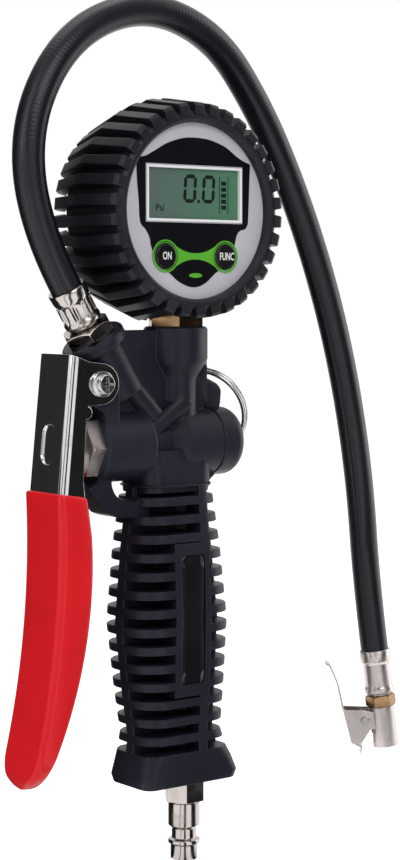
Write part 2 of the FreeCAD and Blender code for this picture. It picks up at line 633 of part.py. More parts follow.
label_blank = place(box("LabelBlank", "label_width", "label_thickness", "label_height"),
                    LABEL_LEFT, "label_front",
                    "pad_bottom + pad_height / 2 - label_height / 2")
keep(label_blank, "label_plate")

# Valve nut, stem, seat, spring and end cap, along X
nut_hex = place(hexagon("NutHex", "nut_flats", "nut_length"), "chamber_left - nut_length", "0", "valve_height",
                ALONG_X)
nut_spigot = place(cylinder("NutSpigot", "nut_thread", "nut_thread_length - 0.5"), "chamber_left", "0",
                   "valve_height", ALONG_X)
nut_bevel = place(turned("NutBevel", [
    ("0", "-1"), ("nut_flats / 2 - 0.4", "-1"), ("nut_flats / 2 + 2.6", "2"), ("nut_flats / 2 + 2.6", "30"),
    ("0", "30")]), "chamber_left - nut_length", "0", "valve_height", ALONG_X)
nut_hole = place(cylinder("NutHole", "stem_radius + running_gap", "40"), "chamber_left - 20", "0", "valve_height",
                 ALONG_X)
keep(cut("ValveNut", common("NutShaped", fused("NutBlank", nut_hex, nut_spigot), nut_bevel), nut_hole), "valve_nut")

STEM_END = "(disc_place - stem_tip)"
stem = place(turned("ValveStem", [
    ("0", "0"), ("stem_button - 1", "0"), ("stem_button", "1"), ("stem_button", "2"), ("stem_radius", "2.6"),
    ("stem_radius", STEM_END), ("stem_radius - 0.6", STEM_END), ("stem_radius - 0.6", STEM_END + " + disc_width"),
    ("disc_radius - 0.8", STEM_END + " + disc_width"), ("disc_radius - 0.8", STEM_END + " + disc_width + 1"),
    ("2.2", STEM_END + " + disc_width + 1"), ("2.2", STEM_END + " + disc_width + 4"),
    ("0", STEM_END + " + disc_width + 4")]), "stem_tip", "0", "valve_height", ALONG_X)
keep(stem, "valve_stem")
disc_blank = place(cylinder("DiscBlank", "disc_radius", "disc_width"), "disc_place", "0", "valve_height", ALONG_X)
disc_hole = place(cylinder("DiscHole", "stem_radius - 0.6", "20"), "disc_place - 5", "0", "valve_height", ALONG_X)
keep(cut("ValveDisc", disc_blank, disc_hole), "valve_disc")
seat_blank = place(cylinder("SeatBlank", "chamber_bore - running_gap", "seat_width"), "disc_place - seat_width", "0",
                   "valve_height", ALONG_X)
seat_hole = place(cylinder("SeatHole", "stem_radius + 1", "20"), "disc_place - 10", "0", "valve_height", ALONG_X)
keep(cut("ValveSeat", seat_blank, seat_hole), "valve_seat")

SPRING_START = "(disc_place + disc_width + 1 + spring_wire)"
CAP_INNER = "(%s - cap_thread_length)" % CHAMBER_RIGHT
spring_length = value("%s - spring_wire - %s" % (CAP_INNER, SPRING_START))
spring_place = Placement(Vector(value(SPRING_START), 0, value("valve_height")), ALONG_X)
keep(coil("ValveSpring", value("spring_radius"), value("spring_wire"), value("spring_turns"), spring_length,
          spring_place), "valve_spring")

cap = turned("EndCap", [
    ("0", "-cap_thread_length"), ("cap_thread - 0.8", "-cap_thread_length"),
    ("cap_thread", "-cap_thread_length + 0.8"), ("cap_thread", "-3.4"), ("cap_thread - 1.6", "-3.4"),
    ("cap_thread - 1.6", "-1.4"), ("cap_thread", "-1.4"), ("cap_thread", "0.2"), ("cap_radius - 0.5", "0.2"),
    ("cap_radius", "0.7"), ("cap_radius", "cap_length - cap_round", "cap_round", 1),
    ("cap_radius - cap_round", "cap_length"), ("0", "cap_length")])
keep(place(cap, CHAMBER_RIGHT, "0", "valve_height", ALONG_X), "end_cap")
cap_oring = turned("CapOring", [
    ("cap_thread - 1.5", "-0.5"), ("cap_thread - 1.2", "-0.8"), ("cap_thread - 0.4", "-0.8"), ("cap_thread - 0.02", "-0.5"),
    ("cap_thread - 0.02", "0.5"), ("cap_thread - 0.4", "0.8"), ("cap_thread - 1.2", "0.8"), ("cap_thread - 1.5", "0.5")])
keep(place(cap_oring, "%s - 2.4" % CHAMBER_RIGHT, "0", "valve_height", ALONG_X), "cap_oring")

# Gauge stem
stem_hex = place(hexagon("GaugeHex", "gauge_hex_flats", "gauge_hex_length"), "gauge_x", "0", "gauge_boss_top")
GAUGE_HEX_TOP = "(gauge_boss_top + gauge_hex_length)"
CASE_BOTTOM = "(dial_height - case_radius)"
stem_turned = place(turned("GaugeStemTurned", [
    ("0", "gauge_boss_top - gauge_thread_length + 0.5"), ("gauge_thread", "gauge_boss_top - gauge_thread_length + 0.5"),
    ("gauge_thread", "gauge_boss_top"), ("5", "gauge_boss_top"), ("5", CASE_BOTTOM + " + case_wall + 2"),
    ("0", CASE_BOTTOM + " + case_wall + 2")]), "gauge_x")
stem_bore = place(cylinder("GaugeStemBore", "1.6", "40"), "gauge_x", "0", "gauge_boss_top - 15")
keep(cut("GaugeStem", fused("GaugeStemBlank", stem_hex, stem_turned), stem_bore), "gauge_stem")

# Gauge, turned about an axis that points to the front
case_outer = turned("GaugeCase", [
    ("0", "-dial_front - case_depth"), ("case_radius - 3", "-dial_front - case_depth"),
    ("case_radius", "-dial_front - case_depth + 3"), ("case_radius", "-dial_front"),
    ("dial_radius + seat_gap", "-dial_front"), ("dial_radius + seat_gap", "-dial_front - dial_thickness"),
    ("case_radius - case_wall - 2", "-dial_front - dial_thickness"),
    ("case_radius - case_wall - 2", "-dial_front - dial_thickness - 2"),
    ("case_radius - case_wall", "-dial_front - dial_thickness - 2"),
    ("case_radius - case_wall", "-dial_front - case_depth + 6"), ("0", "-dial_front - case_depth + 6")])
place(case_outer, "gauge_x", "0", "dial_height", TOWARDS_FRONT)
case_hole = place(cylinder("CaseStemHole", "5 + running_gap", "20"), "gauge_x", "0", CASE_BOTTOM + " - 10")
lid_seat = place(cylinder("LidSeat", "battery_lid + seat_gap", "10"), "gauge_x",
                 "dial_front + case_depth + 8.4", "dial_height", TOWARDS_FRONT)
battery_well = place(cylinder("BatteryWell", "10.2", "6"), "gauge_x", "dial_front + case_depth + 1",
                     "dial_height", TOWARDS_FRONT)
keep(cut("GaugeCaseCut", case_outer, case_hole, lid_seat, battery_well), "gauge_case")
lid_blank = turned("BatteryLid", [
    ("0", "0"), ("battery_lid", "0"), ("battery_lid", "1.6"), ("0", "1.6")])
place(lid_blank, "gauge_x", "dial_front + case_depth", "dial_height", TOWARDS_FRONT)
lid_slot = place(box("LidSlot", "16", "2", "2.2"), "gauge_x - 8", "dial_front + case_depth - 0.8",
                 "dial_height - 1.1")
keep(cut("BatteryCover", lid_blank, lid_slot), "battery_cover")
battery = place(cylinder("Battery", "10", "3.2"), "gauge_x", "dial_front + case_depth - 1.7", "dial_height",
                TOWARDS_FRONT)
keep(battery, "battery")

# Rubber boot with blocks all round
boot_cup = turned("BootCup", [
    ("boot_opening", "-boot_back"), ("boot_radius - 4", "-boot_back"), ("boot_radius", "-boot_back + 4"),
    ("boot_radius", "-dial_front"), ("boot_radius - 3", "-dial_front + boot_lip"),
    ("dial_radius + 1.2", "-dial_front + boot_lip"), ("dial_radius", "-dial_front + boot_lip - 1.2"),
    ("dial_radius", "-dial_front + 0.1"), ("case_radius + seat_gap", "-dial_front + 0.1"),
    ("case_radius + seat_gap", "-boot_back + 4.2"), ("boot_opening", "-boot_back + 4.2")])
place(boot_cup, "gauge_x", "0", "dial_height", TOWARDS_FRONT)


def rim_block(name, reach, width, angle):
    """A block on the boot's rim, its ends sloped, at an angle from the top."""
    body = plate(name, [
        ("boot_radius - 3", "-boot_back + 3"), ("%s - 1" % reach, "-boot_back + 4.5"),
        (reach, "-boot_back + 7"), (reach, "-dial_front - 1.5"), ("%s - 1.6" % reach, "-dial_front + boot_lip - 1"),
        ("boot_radius - 3.2", "-dial_front + boot_lip + 0.5"), ("boot_radius - 3.2", "-dial_front")], width)
    turn = Rotation(X_AXIS, 90).multiply(Rotation(Z_AXIS, 90 - angle))
    return place(body, "gauge_x", "0", "dial_height", turn)


blocks = []
pitch = 360 / value("block_count")
for i in range(int(value("block_count"))):
    blocks.append(rim_block("RimBlock%d" % i, "block_reach", "block_width", i * pitch))
boot_hole = place(cylinder("BootStemHole", "5 + seat_gap", "30"), "gauge_x", "0", CASE_BOTTOM + " - 25")
boot_flat = place(box("BootFlat", "60", "60", "20"), "gauge_x - 30", "-30", GAUGE_HEX_TOP + " + seat_gap - 20")
keep(cut("GaugeBoot", fused("BootBlank", boot_cup, *blocks), boot_hole, boot_flat), "gauge_boot")

# Dial plate, display, buttons and the electronics behind them
dial_disc = place(cylinder("DialDisc", "dial_radius", "dial_thickness"), "gauge_x",
                  "dial_front + dial_thickness", "dial_height", TOWARDS_FRONT)
window = place(box("DialWindow", "2 * lcd_half_width + 2 * lcd_frame + 2 * seat_gap", "10",
                   "2 * lcd_half_height + 2 * lcd_frame + 2 * seat_gap"),
               "gauge_x - lcd_half_width - lcd_frame - seat_gap", "dial_front - 5",
               "lcd_height - lcd_half_height - lcd_frame - seat_gap")
button_holes = [place(cylinder("ButtonHole%d" % i, "button_radius + seat_gap", "20"),
                      "gauge_x %s button_offset" % sign, "dial_front + 10", "button_height", TOWARDS_FRONT)
                for i, sign in enumerate("-+")]
keep(cut("DialPlate", dial_disc, window, *button_holes), "dial_plate")
frame_blank = place(box("FrameBlank", "2 * lcd_half_width + 2 * lcd_frame", "1.5",
                        "2 * lcd_half_height + 2 * lcd_frame"),
                    "gauge_x - lcd_half_width - lcd_frame", "dial_front - 0.3",
                    "lcd_height - lcd_half_height - lcd_frame")
frame_window = place(box("FrameWindow", "2 * lcd_half_width", "10", "2 * lcd_half_height"),
                     "gauge_x - lcd_half_width", "dial_front - 5", "lcd_height - lcd_half_height")
keep(cut("LcdFrame", frame_blank, frame_window), "lcd_frame")
lcd = place(box("LcdPanel", "2 * lcd_half_width + 2 * lcd_frame", "2.6", "2 * lcd_half_height + 2 * lcd_frame"),
            "gauge_x - lcd_half_width - lcd_frame", "dial_front + 1.2", "lcd_height - lcd_half_height - lcd_frame")
keep(lcd, "lcd_panel")
BOARD_FRONT = "(dial_front + 5.2)"
board = place(cylinder("Board", "case_radius - case_wall - 2.4", "1.6"), "gauge_x", BOARD_FRONT + " + 1.6",
              "dial_height", TOWARDS_FRONT)
board_gap = place(box("BoardGap", "14", "10", "20"), "gauge_x - 7", BOARD_FRONT + " - 5",
                  CASE_BOTTOM + " + case_wall - 8")
keep(cut("CircuitBoard", board, board_gap), "circuit_board")
for i, (sign, label) in enumerate((("-", "button_on"), ("+", "button_func"))):
    button = turned("Button%d" % i, [
        ("0", "-dial_front - dial_thickness - 2.4"), ("2", "-dial_front - dial_thickness - 2.4"),
        ("2", "-dial_front - dial_thickness - 1.2"), ("button_radius + 1", "-dial_front - dial_thickness - 1.2"),
        ("button_radius + 1", "-dial_front - dial_thickness - 0.1"), ("button_radius", "-dial_front - dial_thickness - 0.1"),
        ("button_radius", "-dial_front + button_proud - 0.5"), ("button_radius - 0.5", "-dial_front + button_proud"),
        ("0", "-dial_front + button_proud")])
    keep(place(button, "gauge_x %s button_offset" % sign, "0", "button_height", TOWARDS_FRONT), label)
sensor = place(cylinder("Sensor", "6", "6"), "gauge_x", "0", CASE_BOTTOM + " + case_wall + 2")
keep(sensor, "pressure_sensor")

# Hose nut and crimped ferrule on the tilted boss


def bevelled_hexagon(name, flats, height):
    """A hexagon standing on its frame's floor, with its corners turned down at both ends."""
    turned_down = turned(name + "Bevel", [
        ("0", "0"), (flats + " / 2", "0"), (flats + " / 2 * 1.16", "0.9"), (flats + " / 2 * 1.16", height + " - 0.9"),
        (flats + " / 2", height), ("0", height)])
    return common(name, hexagon(name + "Stock", flats, height), turned_down)


hose_stock = fused("HoseNutBlank", bevelled_hexagon("HoseHex", "hose_nut_flats", "hose_nut_length"),
                   place(cylinder("HoseSpigot", "hose_thread", "8.6"), z="-8.5"))
hose_nut = cut("HoseNut", hose_stock, place(cylinder("HoseFitBore", "2", "40"), z="-20"))
keep(seat(hose_nut, hose_frame), "hose_nut")
NUT_TOP = "hose_nut_length"
FERRULE_END = "(hose_nut_length + ferrule_length)"
ferrule = seat(turned("Ferrule", [
    ("2", NUT_TOP), ("ferrule_radius - 1.2", NUT_TOP), ("ferrule_radius - 0.4", NUT_TOP + " + 1"),
    ("ferrule_radius - 0.5", NUT_TOP + " + 4"), ("ferrule_radius", NUT_TOP + " + 5"),
    ("ferrule_radius", NUT_TOP + " + 8"), ("ferrule_radius - 0.5", NUT_TOP + " + 9"),
    ("ferrule_radius - 0.2", FERRULE_END + " - 1"), ("ferrule_radius - 0.6", FERRULE_END),
    ("hose_radius + running_gap", FERRULE_END), ("hose_radius + running_gap", FERRULE_END + " - hose_grip"),
    ("2", FERRULE_END + " - hose_grip")]), hose_frame)
keep(ferrule, "hose_ferrule")

# Lever, a folded channel open towards the grip; its back and its rims are long arcs
LEVER_MIDDLE = "(pivot_z - ear_radius - 2)"


def folded(name, blank, radius, corners):
    """The plate with edges of its back rounded; corners are the back's, in X and Z."""
    spots = [(value(x), value(z)) for x, z in corners]
    edges = []
    for number, edge in enumerate(blank.Shape.Edges, 1):
        ends = [vertex.Point for vertex in edge.Vertexes]
        level = len(ends) == 2 and abs(ends[0].y - ends[1].y) < 1e-6
        if level and all(min(math.dist((end.x, end.z), spot) for spot in spots) < 0.01 for end in ends):
            edges.append((number, value(radius), value(radius)))
    feature = doc.addObject("Part::Fillet", name)
    feature.Base = blank
    feature.Edges = edges
    blank.Visibility = False
    doc.recompute()
    return feature


lever_plate = plate("LeverSide", [
    ("back_low_x", "back_low_z", "back_curve", 1), ("back_high_x", "back_high_z"), ("back_top_x", "back_top_z"),
    ("pivot_x - 5.6", "pivot_z + 8.2"), ("pivot_x", "pivot_z + ear_radius"), ("pivot_x", "pivot_z - ear_radius"),
    ("pivot_x - 5.6", LEVER_MIDDLE + " + 1.6", "2.4", -1), ("pivot_x - 6.8", LEVER_MIDDLE + " - 3"),
    ("rim_high_x - 2.6", "rim_high_z + 19"), ("rim_high_x - 2", "rim_high_z + 13"),
    ("rim_high_x", "rim_high_z", "rim_curve", -1), ("rim_low_x", "rim_low_z"),
    ("rim_low_x - 2.3", "lever_end + 1.6", "2.8", -1), ("back_low_x - 1.6", "lever_end + 5.2")],
    "2 * lever_half_width")
doc.recompute()
lever_side = folded("LeverFolds", lever_plate, "lever_fold", [
    ("back_high_x", "back_high_z"), ("back_top_x", "back_top_z")])
lever_ear = place(cylinder("LeverEar", "ear_radius", "2 * lever_half_width"), "pivot_x", "lever_half_width",
                  "pivot_z", TOWARDS_FRONT)


def channel(name, skin, half):
    """The space inside the lever, a skin's thickness away from its back."""
    blank = plate(name + "Plate", [
        ("back_low_x + " + skin, "back_low_z", "back_curve", 1), ("back_high_x + " + skin, "back_high_z"),
        ("back_top_x + " + skin, "back_top_z"), ("back_top_x + " + skin, "back_top_z + 10"),
        ("0", "back_top_z + 10"), ("0", "lever_end - 20"), ("rim_low_x - 1.4", "lever_end + 3.6 + " + skin)],
        "2 * (%s)" % half)
    doc.recompute()
    return folded(name, blank, "lever_fold - lever_sheet", [
        ("back_high_x + " + skin, "back_high_z"), ("back_top_x + " + skin, "back_top_z"),
        ("back_top_x + " + skin, "back_top_z + 10")])


def round_ended(name, half, end):
    """A slab that is round at its lower end, seen along X."""
    body = doc.addObject("PartDesign::Body", name)
    outline = sketch(body, name + "Outline", "YZ_Plane", [
        ("-(%s)" % half, end + " + " + half, "(%s) * 1.001" % half, 1), (half, end + " + " + half),
        (half, "back_top_z + 20"), ("-(%s)" % half, "back_top_z + 20")])
    feature = body.newObject("PartDesign::Pad", name + "Pad")
    feature.Profile = outline
    feature.SideType = "Symmetric"
    feature.Length = 200
    return body


def obround(name, frame, radius, start, depth):
    """A long round shape across the lever's back plate."""
    high = seat(cylinder(name + "High", radius, depth), frame, start, "0", "dimple_rise", ALONG_X)
    low = seat(cylinder(name + "Low", radius, depth), frame, start, "0", "-dimple_rise", ALONG_X)
    middle = seat(box(name + "Middle", depth, "2 * (%s)" % radius, "2 * dimple_rise"), frame, start,
                  "-(%s)" % radius, "-dimple_rise")
    return fused(name, high, low, middle)


back_lean = math.degrees(math.atan2(value("back_top_x - back_high_x"), value("back_top_z - back_high_z")))
dimple_z = value("valve_height + 1.8")
dimple_x = value("back_high_x") + math.tan(math.radians(back_lean)) * (dimple_z - value("back_high_z"))
dimple_frame = Placement(Vector(dimple_x, 0, dimple_z), Rotation(Y_AXIS, back_lean))
lever_shell = fused("LeverShell", cut("LeverFolded", fused("LeverBlank", lever_side, lever_ear),
                                      channel("LeverChannel", "lever_sheet", "lever_half_width - lever_sheet")),
                    obround("DimpleBump", dimple_frame, "dimple_radius + 1", "0.4", "dimple_depth + lever_sheet - 0.4"))
lever_round = common("LeverRound", lever_shell, round_ended("LeverEnd", "lever_half_width", "lever_end"))
pivot_hole = place(cylinder("LeverPivotHole", "pivot_radius + running_gap", "80"), "pivot_x", "40", "pivot_z",
                   TOWARDS_FRONT)
lever = keep(cut("Lever", lever_round, pivot_hole,
                 obround("DimpleRecess", dimple_frame, "dimple_radius", "-5", "dimple_depth + 5")), "lever")

# Dipped sleeve on both sides of the lever sheet
sleeve_side = plate("SleeveSide", [
    ("back_low_x - sleeve_coat", "back_low_z", "back_curve", 1), ("back_high_x - sleeve_coat", "sleeve_top"),
    ("rim_high_x - 2 + sleeve_coat", "sleeve_top"), ("rim_high_x + sleeve_coat", "rim_high_z", "rim_curve", -1),
    ("rim_low_x + sleeve_coat", "rim_low_z"), ("rim_low_x - 1.8", "lever_end + 0.4", "3.3", -1),
    ("back_low_x - 1.6 - sleeve_coat", "lever_end + 4")], "2 * (lever_half_width + sleeve_coat)")
sleeve_shell = cut("SleeveShell", sleeve_side, channel("SleeveChannel", "lever_sheet + sleeve_coat",
                                                       "lever_half_width - lever_sheet - sleeve_coat"))
sleeve_round = common("SleeveRound", sleeve_shell,
                      round_ended("SleeveEnd", "(lever_half_width + sleeve_coat)", "lever_end - sleeve_coat"))
keep(cut("LeverSleeve", sleeve_round, lever), "lever_sleeve")

# Pivot, along Y
HEAD_FACE = "(lever_half_width + 0.15)"
screw_blank = turned("PivotScrewBlank", [
    ("0", "-%s - 4.6" % HEAD_FACE), ("pivot_radius", "-%s - 4.6" % HEAD_FACE), ("pivot_radius", HEAD_FACE),
    ("screw_flange", HEAD_FACE), ("screw_flange", HEAD_FACE + " + 1"), ("screw_head", HEAD_FACE + " + 1.2"),
    ("screw_head", HEAD_FACE + " + 2.9"), ("screw_head - 0.5", HEAD_FACE + " + 3.4"), ("0", HEAD_FACE + " + 3.4")])
slot_long = place(box("SlotLong", "4.6", "0.9", "3"), "-2.3", "-0.45", HEAD_FACE + " + 1.9")
slot_cross = place(box("SlotCross", "0.9", "4.6", "3"), "-0.45", "-2.3", HEAD_FACE + " + 1.9")
screw = cut("PivotScrew", screw_blank, slot_long, slot_cross)
keep(place(screw, "pivot_x", "0", "pivot_z", TOWARDS_FRONT), "pivot_screw")
bush_blank = cylinder("BushBlank", "pivot_radius + 1.1", "2 * %s" % BRACKET_HALF)
bush = cut("PivotBush", bush_blank, place(cylinder("BushHole", "pivot_radius + running_gap", "60"), z="-10"))
keep(place(bush, "pivot_x", BRACKET_HALF, "pivot_z", TOWARDS_FRONT), "pivot_bush")
nut_stock = bevelled_hexagon("PivotNutHex", "8", "4")
pivot_nut = cut("PivotNut", nut_stock, place(cylinder("PivotNutHole", "pivot_radius + running_gap", "60"), z="-10"))
keep(place(pivot_nut, "pivot_x", HEAD_FACE + " + 4", "pivot_z", TOWARDS_FRONT), "pivot_nut")


# Hanging ring, two turns of wire through the eye
ring_wire = value("ring_wire")
ring_place = ring_frame.multiply(Placement(
    Vector(value("ring_eye_along"), value("ring_eye_back") - 2.5 * ring_wire,
           value("ring_eye_height - ring_radius - 0.8")),
    Rotation(X_AXIS, -90).multiply(Rotation(Z_AXIS, 90))))
keep(coil("SplitRing", value("ring_radius"), ring_wire, 2.0, 5.0 * ring_wire, ring_place), "split_ring")

# Hose: straight runs joined by arcs, through points chosen by hand
HOSE_POINTS = [(-69.5, 0, 273), (-51, 0, 305), (-17, 1.5, 319), (17.5, 4, 310), (43, 9, 285), (63.5, 13.5, 256),
               (80, 17, 226), (93, 19.5, 195), (103, 21.5, 162.5), (110, 23, 129.5)]
ferrule_end = value(FERRULE_END)
hose_route = [hose_frame.multVec(Vector(0, 0, ferrule_end - value("hose_grip"))),
              hose_frame.multVec(Vector(0, 0, ferrule_end + 26))]
hose_route += [Vector(*point) for point in HOSE_POINTS]
hose_route += [chuck_frame.multVec(Vector(0, 0, 31)), chuck_frame.multVec(Vector(0, 0, -value("tail_grip")))]
keep(swept("Hose", hose_route, value("hose_radius"), 12), "hose")

# Clip-on chuck, each piece in the chuck frame, its Z axis up the hose
BORE = "1.5"
FERRULE_LOW = "-tail_ferrule"
keep(seat(turned("ChuckFerrule", [
    ("hose_radius + running_gap", "0"), ("tail_ferrule_radius - 0.3", "0"), ("tail_ferrule_radius", "-0.4"),
    ("tail_ferrule_radius", "-4.6"), ("tail_ferrule_radius - 0.8", "-6"), ("tail_ferrule_radius - 0.8", "-15"),
    ("tail_ferrule_radius - 0.3", "-16.5"), ("tail_ferrule_radius - 0.3", "-18"),
    ("tail_ferrule_radius - 1.5", "-18.6"), ("tail_ferrule_radius - 1.5", FERRULE_LOW), (BORE, FERRULE_LOW),
    (BORE, "-tail_grip - 0.4"), ("hose_radius + running_gap", "-tail_grip - 0.4")]), chuck_frame), "chuck_ferrule")
BODY_LOW = "(-tail_ferrule - chuck_hex_length)"
barrel = place(cylinder("ChuckBarrel", "mouth_radius + 0.5 - running_gap", "7.6"), z=BODY_LOW + " - 7.5")
chuck_hex = place(bevelled_hexagon("ChuckHex", "chuck_hex_flats", "chuck_hex_length"), z=BODY_LOW)
chuck_body = cut("ChuckBody", fused("ChuckBodyBlank", chuck_hex, barrel),
                 place(cylinder("ChuckBore", BORE, "60"), z="-60"))
keep(seat(chuck_body, chuck_frame), "chuck_body")
SEAL_TOP = "(%s - 7.5)" % BODY_LOW
seal = cut("ChuckSeal", cylinder("SealBlank", "mouth_radius + 0.5 - running_gap", "2"),
           place(cylinder("SealHole", "1.6", "10"), z="-4"))
keep(seat(seal, chuck_frame, z=SEAL_TOP + " - 2"), "chuck_seal")
pin = turned("Depressor", [
    ("0", SEAL_TOP + " - 1.9"), ("0.6", SEAL_TOP + " - 1.9"), ("0.9", SEAL_TOP + " - 1.6"), ("0.9", SEAL_TOP + " + 0.8"),
    (BORE + " - 0.02", SEAL_TOP + " + 0.8"), (BORE + " - 0.02", SEAL_TOP + " + 1.8"), ("0", SEAL_TOP + " + 1.8")])
pin_flats = [place(box("PinFlat%d" % i, "4", "4", "4"), x, "-2", SEAL_TOP) for i, x in enumerate(("1", "-5"))]
keep(seat(cut("DepressorCut", pin, *pin_flats), chuck_frame), "depressor")
HOUSING_TOP = "(%s - 0.2)" % BODY_LOW
HOUSING_LOW = "(%s - barrel_length)" % HOUSING_TOP
housing_tube = place(cylinder("HousingTube", "barrel_radius", "barrel_length"), z=HOUSING_LOW)
EAR_TOP = "-rivet_drop + 3.2"
ears = plate("HousingEars", [
    ("-rivet_offset - 2.2", EAR_TOP + " - 1.4"), ("-rivet_offset - 1", EAR_TOP), ("0", EAR_TOP),
    ("0", "-rivet_drop - 4"), ("-rivet_offset + 1", "-rivet_drop - 4"), ("-rivet_offset - 2.2", "-rivet_drop - 2")],
    "2 * (ear_inner + ear_sheet)")
ear_space = place(box("EarSpace", "30", "2 * ear_inner", "30"), "-30", "-ear_inner", "-rivet_drop - 15")
housing_bore = fused("HousingBores", place(cylinder("MouthBore", "mouth_radius", "60"), z="-70"),
                     place(cylinder("BodySeat", "mouth_radius + 0.5", "20"), z=SEAL_TOP + " - 2"))
jaw_slot = place(box("JawSlot", "10", "5", "4"), "-12", "-2.5", HOUSING_LOW + " + 2")
rivet_hole = place(cylinder("EarRivetHole", "rivet_radius + running_gap", "30"), "-rivet_offset", "15", "-rivet_drop",
                   TOWARDS_FRONT)
ear_pair = cut("EarPair", ears, ear_space)
keep(seat(cut("ChuckHousing", fused("HousingBlank", housing_tube, ear_pair), housing_bore, jaw_slot, rivet_hole),
          chuck_frame), "chuck_housing")
CHEEK = "(ear_inner + ear_sheet + moving_gap)"
rivet = turned("ChuckRivet", [
    ("0", "-%s - clip_sheet - 0.8" % CHEEK), ("rivet_radius + 0.5", "-%s - clip_sheet - 0.8" % CHEEK),
    ("rivet_radius + 0.8", "-%s - clip_sheet - 0.1" % CHEEK), ("rivet_radius", "-%s - clip_sheet - 0.1" % CHEEK),
    ("rivet_radius", CHEEK + " + clip_sheet + 0.1"), ("rivet_radius + 0.8", CHEEK + " + clip_sheet + 0.1"),
    ("rivet_radius + 0.5", CHEEK + " + clip_sheet + 0.8"), ("0", CHEEK + " + clip_sheet + 0.8")])
keep(seat(rivet, chuck_frame, "-rivet_offset", "0", "-rivet_drop", TOWARDS_FRONT), "chuck_rivet")
cheeks = plate("ClipCheeks", [
    ("-16.5", "-23.2"), ("-rivet_offset + 2.6", "-25"), ("-rivet_offset + 2.6", "-32"), ("-10.4", "-38.4"),
    ("-14.6", "-37.8")], "2 * (%s + clip_sheet)" % CHEEK)
clip_space = plate("ClipSpace", [
    ("-16.5 + clip_sheet * 1.05", "-20"), ("0", "-20"), ("0", "-50"), ("-14.6 + clip_sheet", "-50"),
    ("-14.6 + clip_sheet", "-37.8"), ("-16.5 + clip_sheet * 1.05", "-23.2")], "2 * " + CHEEK)
clip_tail = plate("ClipTail", [
    ("-16.5", "-24"), ("-17.6", "-13", "60", 1), ("-20.2", "-4.2"), ("-21.6", "-3.2"), ("-21.2", "-2.6"),
    ("-19.6", "-3.6", "60", -1), ("-16.9", "-13"), ("-15.8", "-24")], "8")
clip_jaw = plate("ClipJaw", [
    ("-14.6", "-36.8"), ("-14.5", "-38.2"), ("-10.9", "-40.5"), ("-11.6", "-42.8"), ("-10.9", "-43.1"),
    ("-10", "-39.9"), ("-13.9", "-37.6"), ("-13.9", "-36.8")], "6")
clip_hole = place(cylinder("ClipHole", "rivet_radius + running_gap", "30"), "-rivet_offset", "15", "-rivet_drop",
                  TOWARDS_FRONT)
clip = fused("ClipBlank", cut("ClipFolded", cheeks, clip_space), clip_tail, clip_jaw)
keep(seat(cut("ChuckLever", clip, clip_hole), chuck_frame), "chuck_lever")
clip_coil = chuck_frame.multiply(Placement(
    Vector(value("-rivet_offset"), value("ear_inner") - 0.6, value("-rivet_drop")), TOWARDS_FRONT))
keep(coil("ChuckSpring", value("rivet_radius") + 0.65, 0.3, 5.0, 2 * value("ear_inner") - 1.2, clip_coil),
     "chuck_spring")

doc.recompute()

faults = [item.Label for item in doc.Objects if "Invalid" in item.State or "Error" in item.State]
for item in SUB_PARTS:
    if item.Shape.isNull() or not item.Shape.isValid() or not item.Shape.Solids:
        faults.append(item.Label + " shape")
if faults:
    raise RuntimeError("not built: " + ", ".join(faults))

os.makedirs("parts", exist_ok=True)
for item in SUB_PARTS:
    item.Shape.exportStep("parts/%s.step" % item.Label)
    print("%-18s solids %d volume %.1f" % (item.Label, len(item.Shape.Solids), item.Shape.Volume))
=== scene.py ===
"""Tyre inflator gun with a digital gauge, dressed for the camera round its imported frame.

The air plug's tip is the origin, +Z runs up the grip, the lever is on the -X side and the dial
faces -Y. The scene is in metres, and the classes say so where their sizes are millimetres.
"""

from __future__ import annotations

import json
import logging
import math
from collections.abc import Callable, Iterable, Sequence
from dataclasses import dataclass, field
from enum import Enum

import bpy
from mathutils import Matrix, Vector

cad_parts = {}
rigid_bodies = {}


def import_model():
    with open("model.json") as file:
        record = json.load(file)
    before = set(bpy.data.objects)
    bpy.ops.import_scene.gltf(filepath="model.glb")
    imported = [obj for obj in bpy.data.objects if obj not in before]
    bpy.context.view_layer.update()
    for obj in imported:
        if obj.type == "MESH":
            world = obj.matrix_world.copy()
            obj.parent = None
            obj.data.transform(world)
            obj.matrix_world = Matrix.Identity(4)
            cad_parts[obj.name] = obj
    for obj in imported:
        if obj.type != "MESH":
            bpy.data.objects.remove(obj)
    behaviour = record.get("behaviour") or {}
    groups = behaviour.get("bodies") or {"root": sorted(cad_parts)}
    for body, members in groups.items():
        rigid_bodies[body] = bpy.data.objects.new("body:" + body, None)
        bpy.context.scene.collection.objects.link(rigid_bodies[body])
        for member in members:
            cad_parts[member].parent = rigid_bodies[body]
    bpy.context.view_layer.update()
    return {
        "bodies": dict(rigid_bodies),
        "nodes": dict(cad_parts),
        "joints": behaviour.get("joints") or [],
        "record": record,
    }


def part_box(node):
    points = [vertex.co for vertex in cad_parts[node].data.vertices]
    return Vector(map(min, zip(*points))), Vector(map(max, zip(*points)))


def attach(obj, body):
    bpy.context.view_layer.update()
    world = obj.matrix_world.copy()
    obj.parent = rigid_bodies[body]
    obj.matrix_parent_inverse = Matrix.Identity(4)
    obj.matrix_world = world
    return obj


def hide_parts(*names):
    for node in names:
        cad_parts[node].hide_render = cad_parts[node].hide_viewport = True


LOG = logging.getLogger("inflator")
MM = 0.001
Point = tuple[float, float, float]
Colour = tuple[float, float, float]
Tones = tuple[Colour, Colour]
Spot = tuple[float, float]
Outline = Sequence[Spot]
Socket = bpy.types.NodeSocket
Sockets = bpy.types.bpy_prop_collection
Wires = tuple[Socket, Socket, Socket]
Thing = bpy.types.Object

# How near doubles lie: in the scene's metres, in the bench's millimetres and in the thin prints
SCENE_DOUBLES, BENCH_DOUBLES, PRINT_DOUBLES = 1e-6, 1e-4, 1e-5


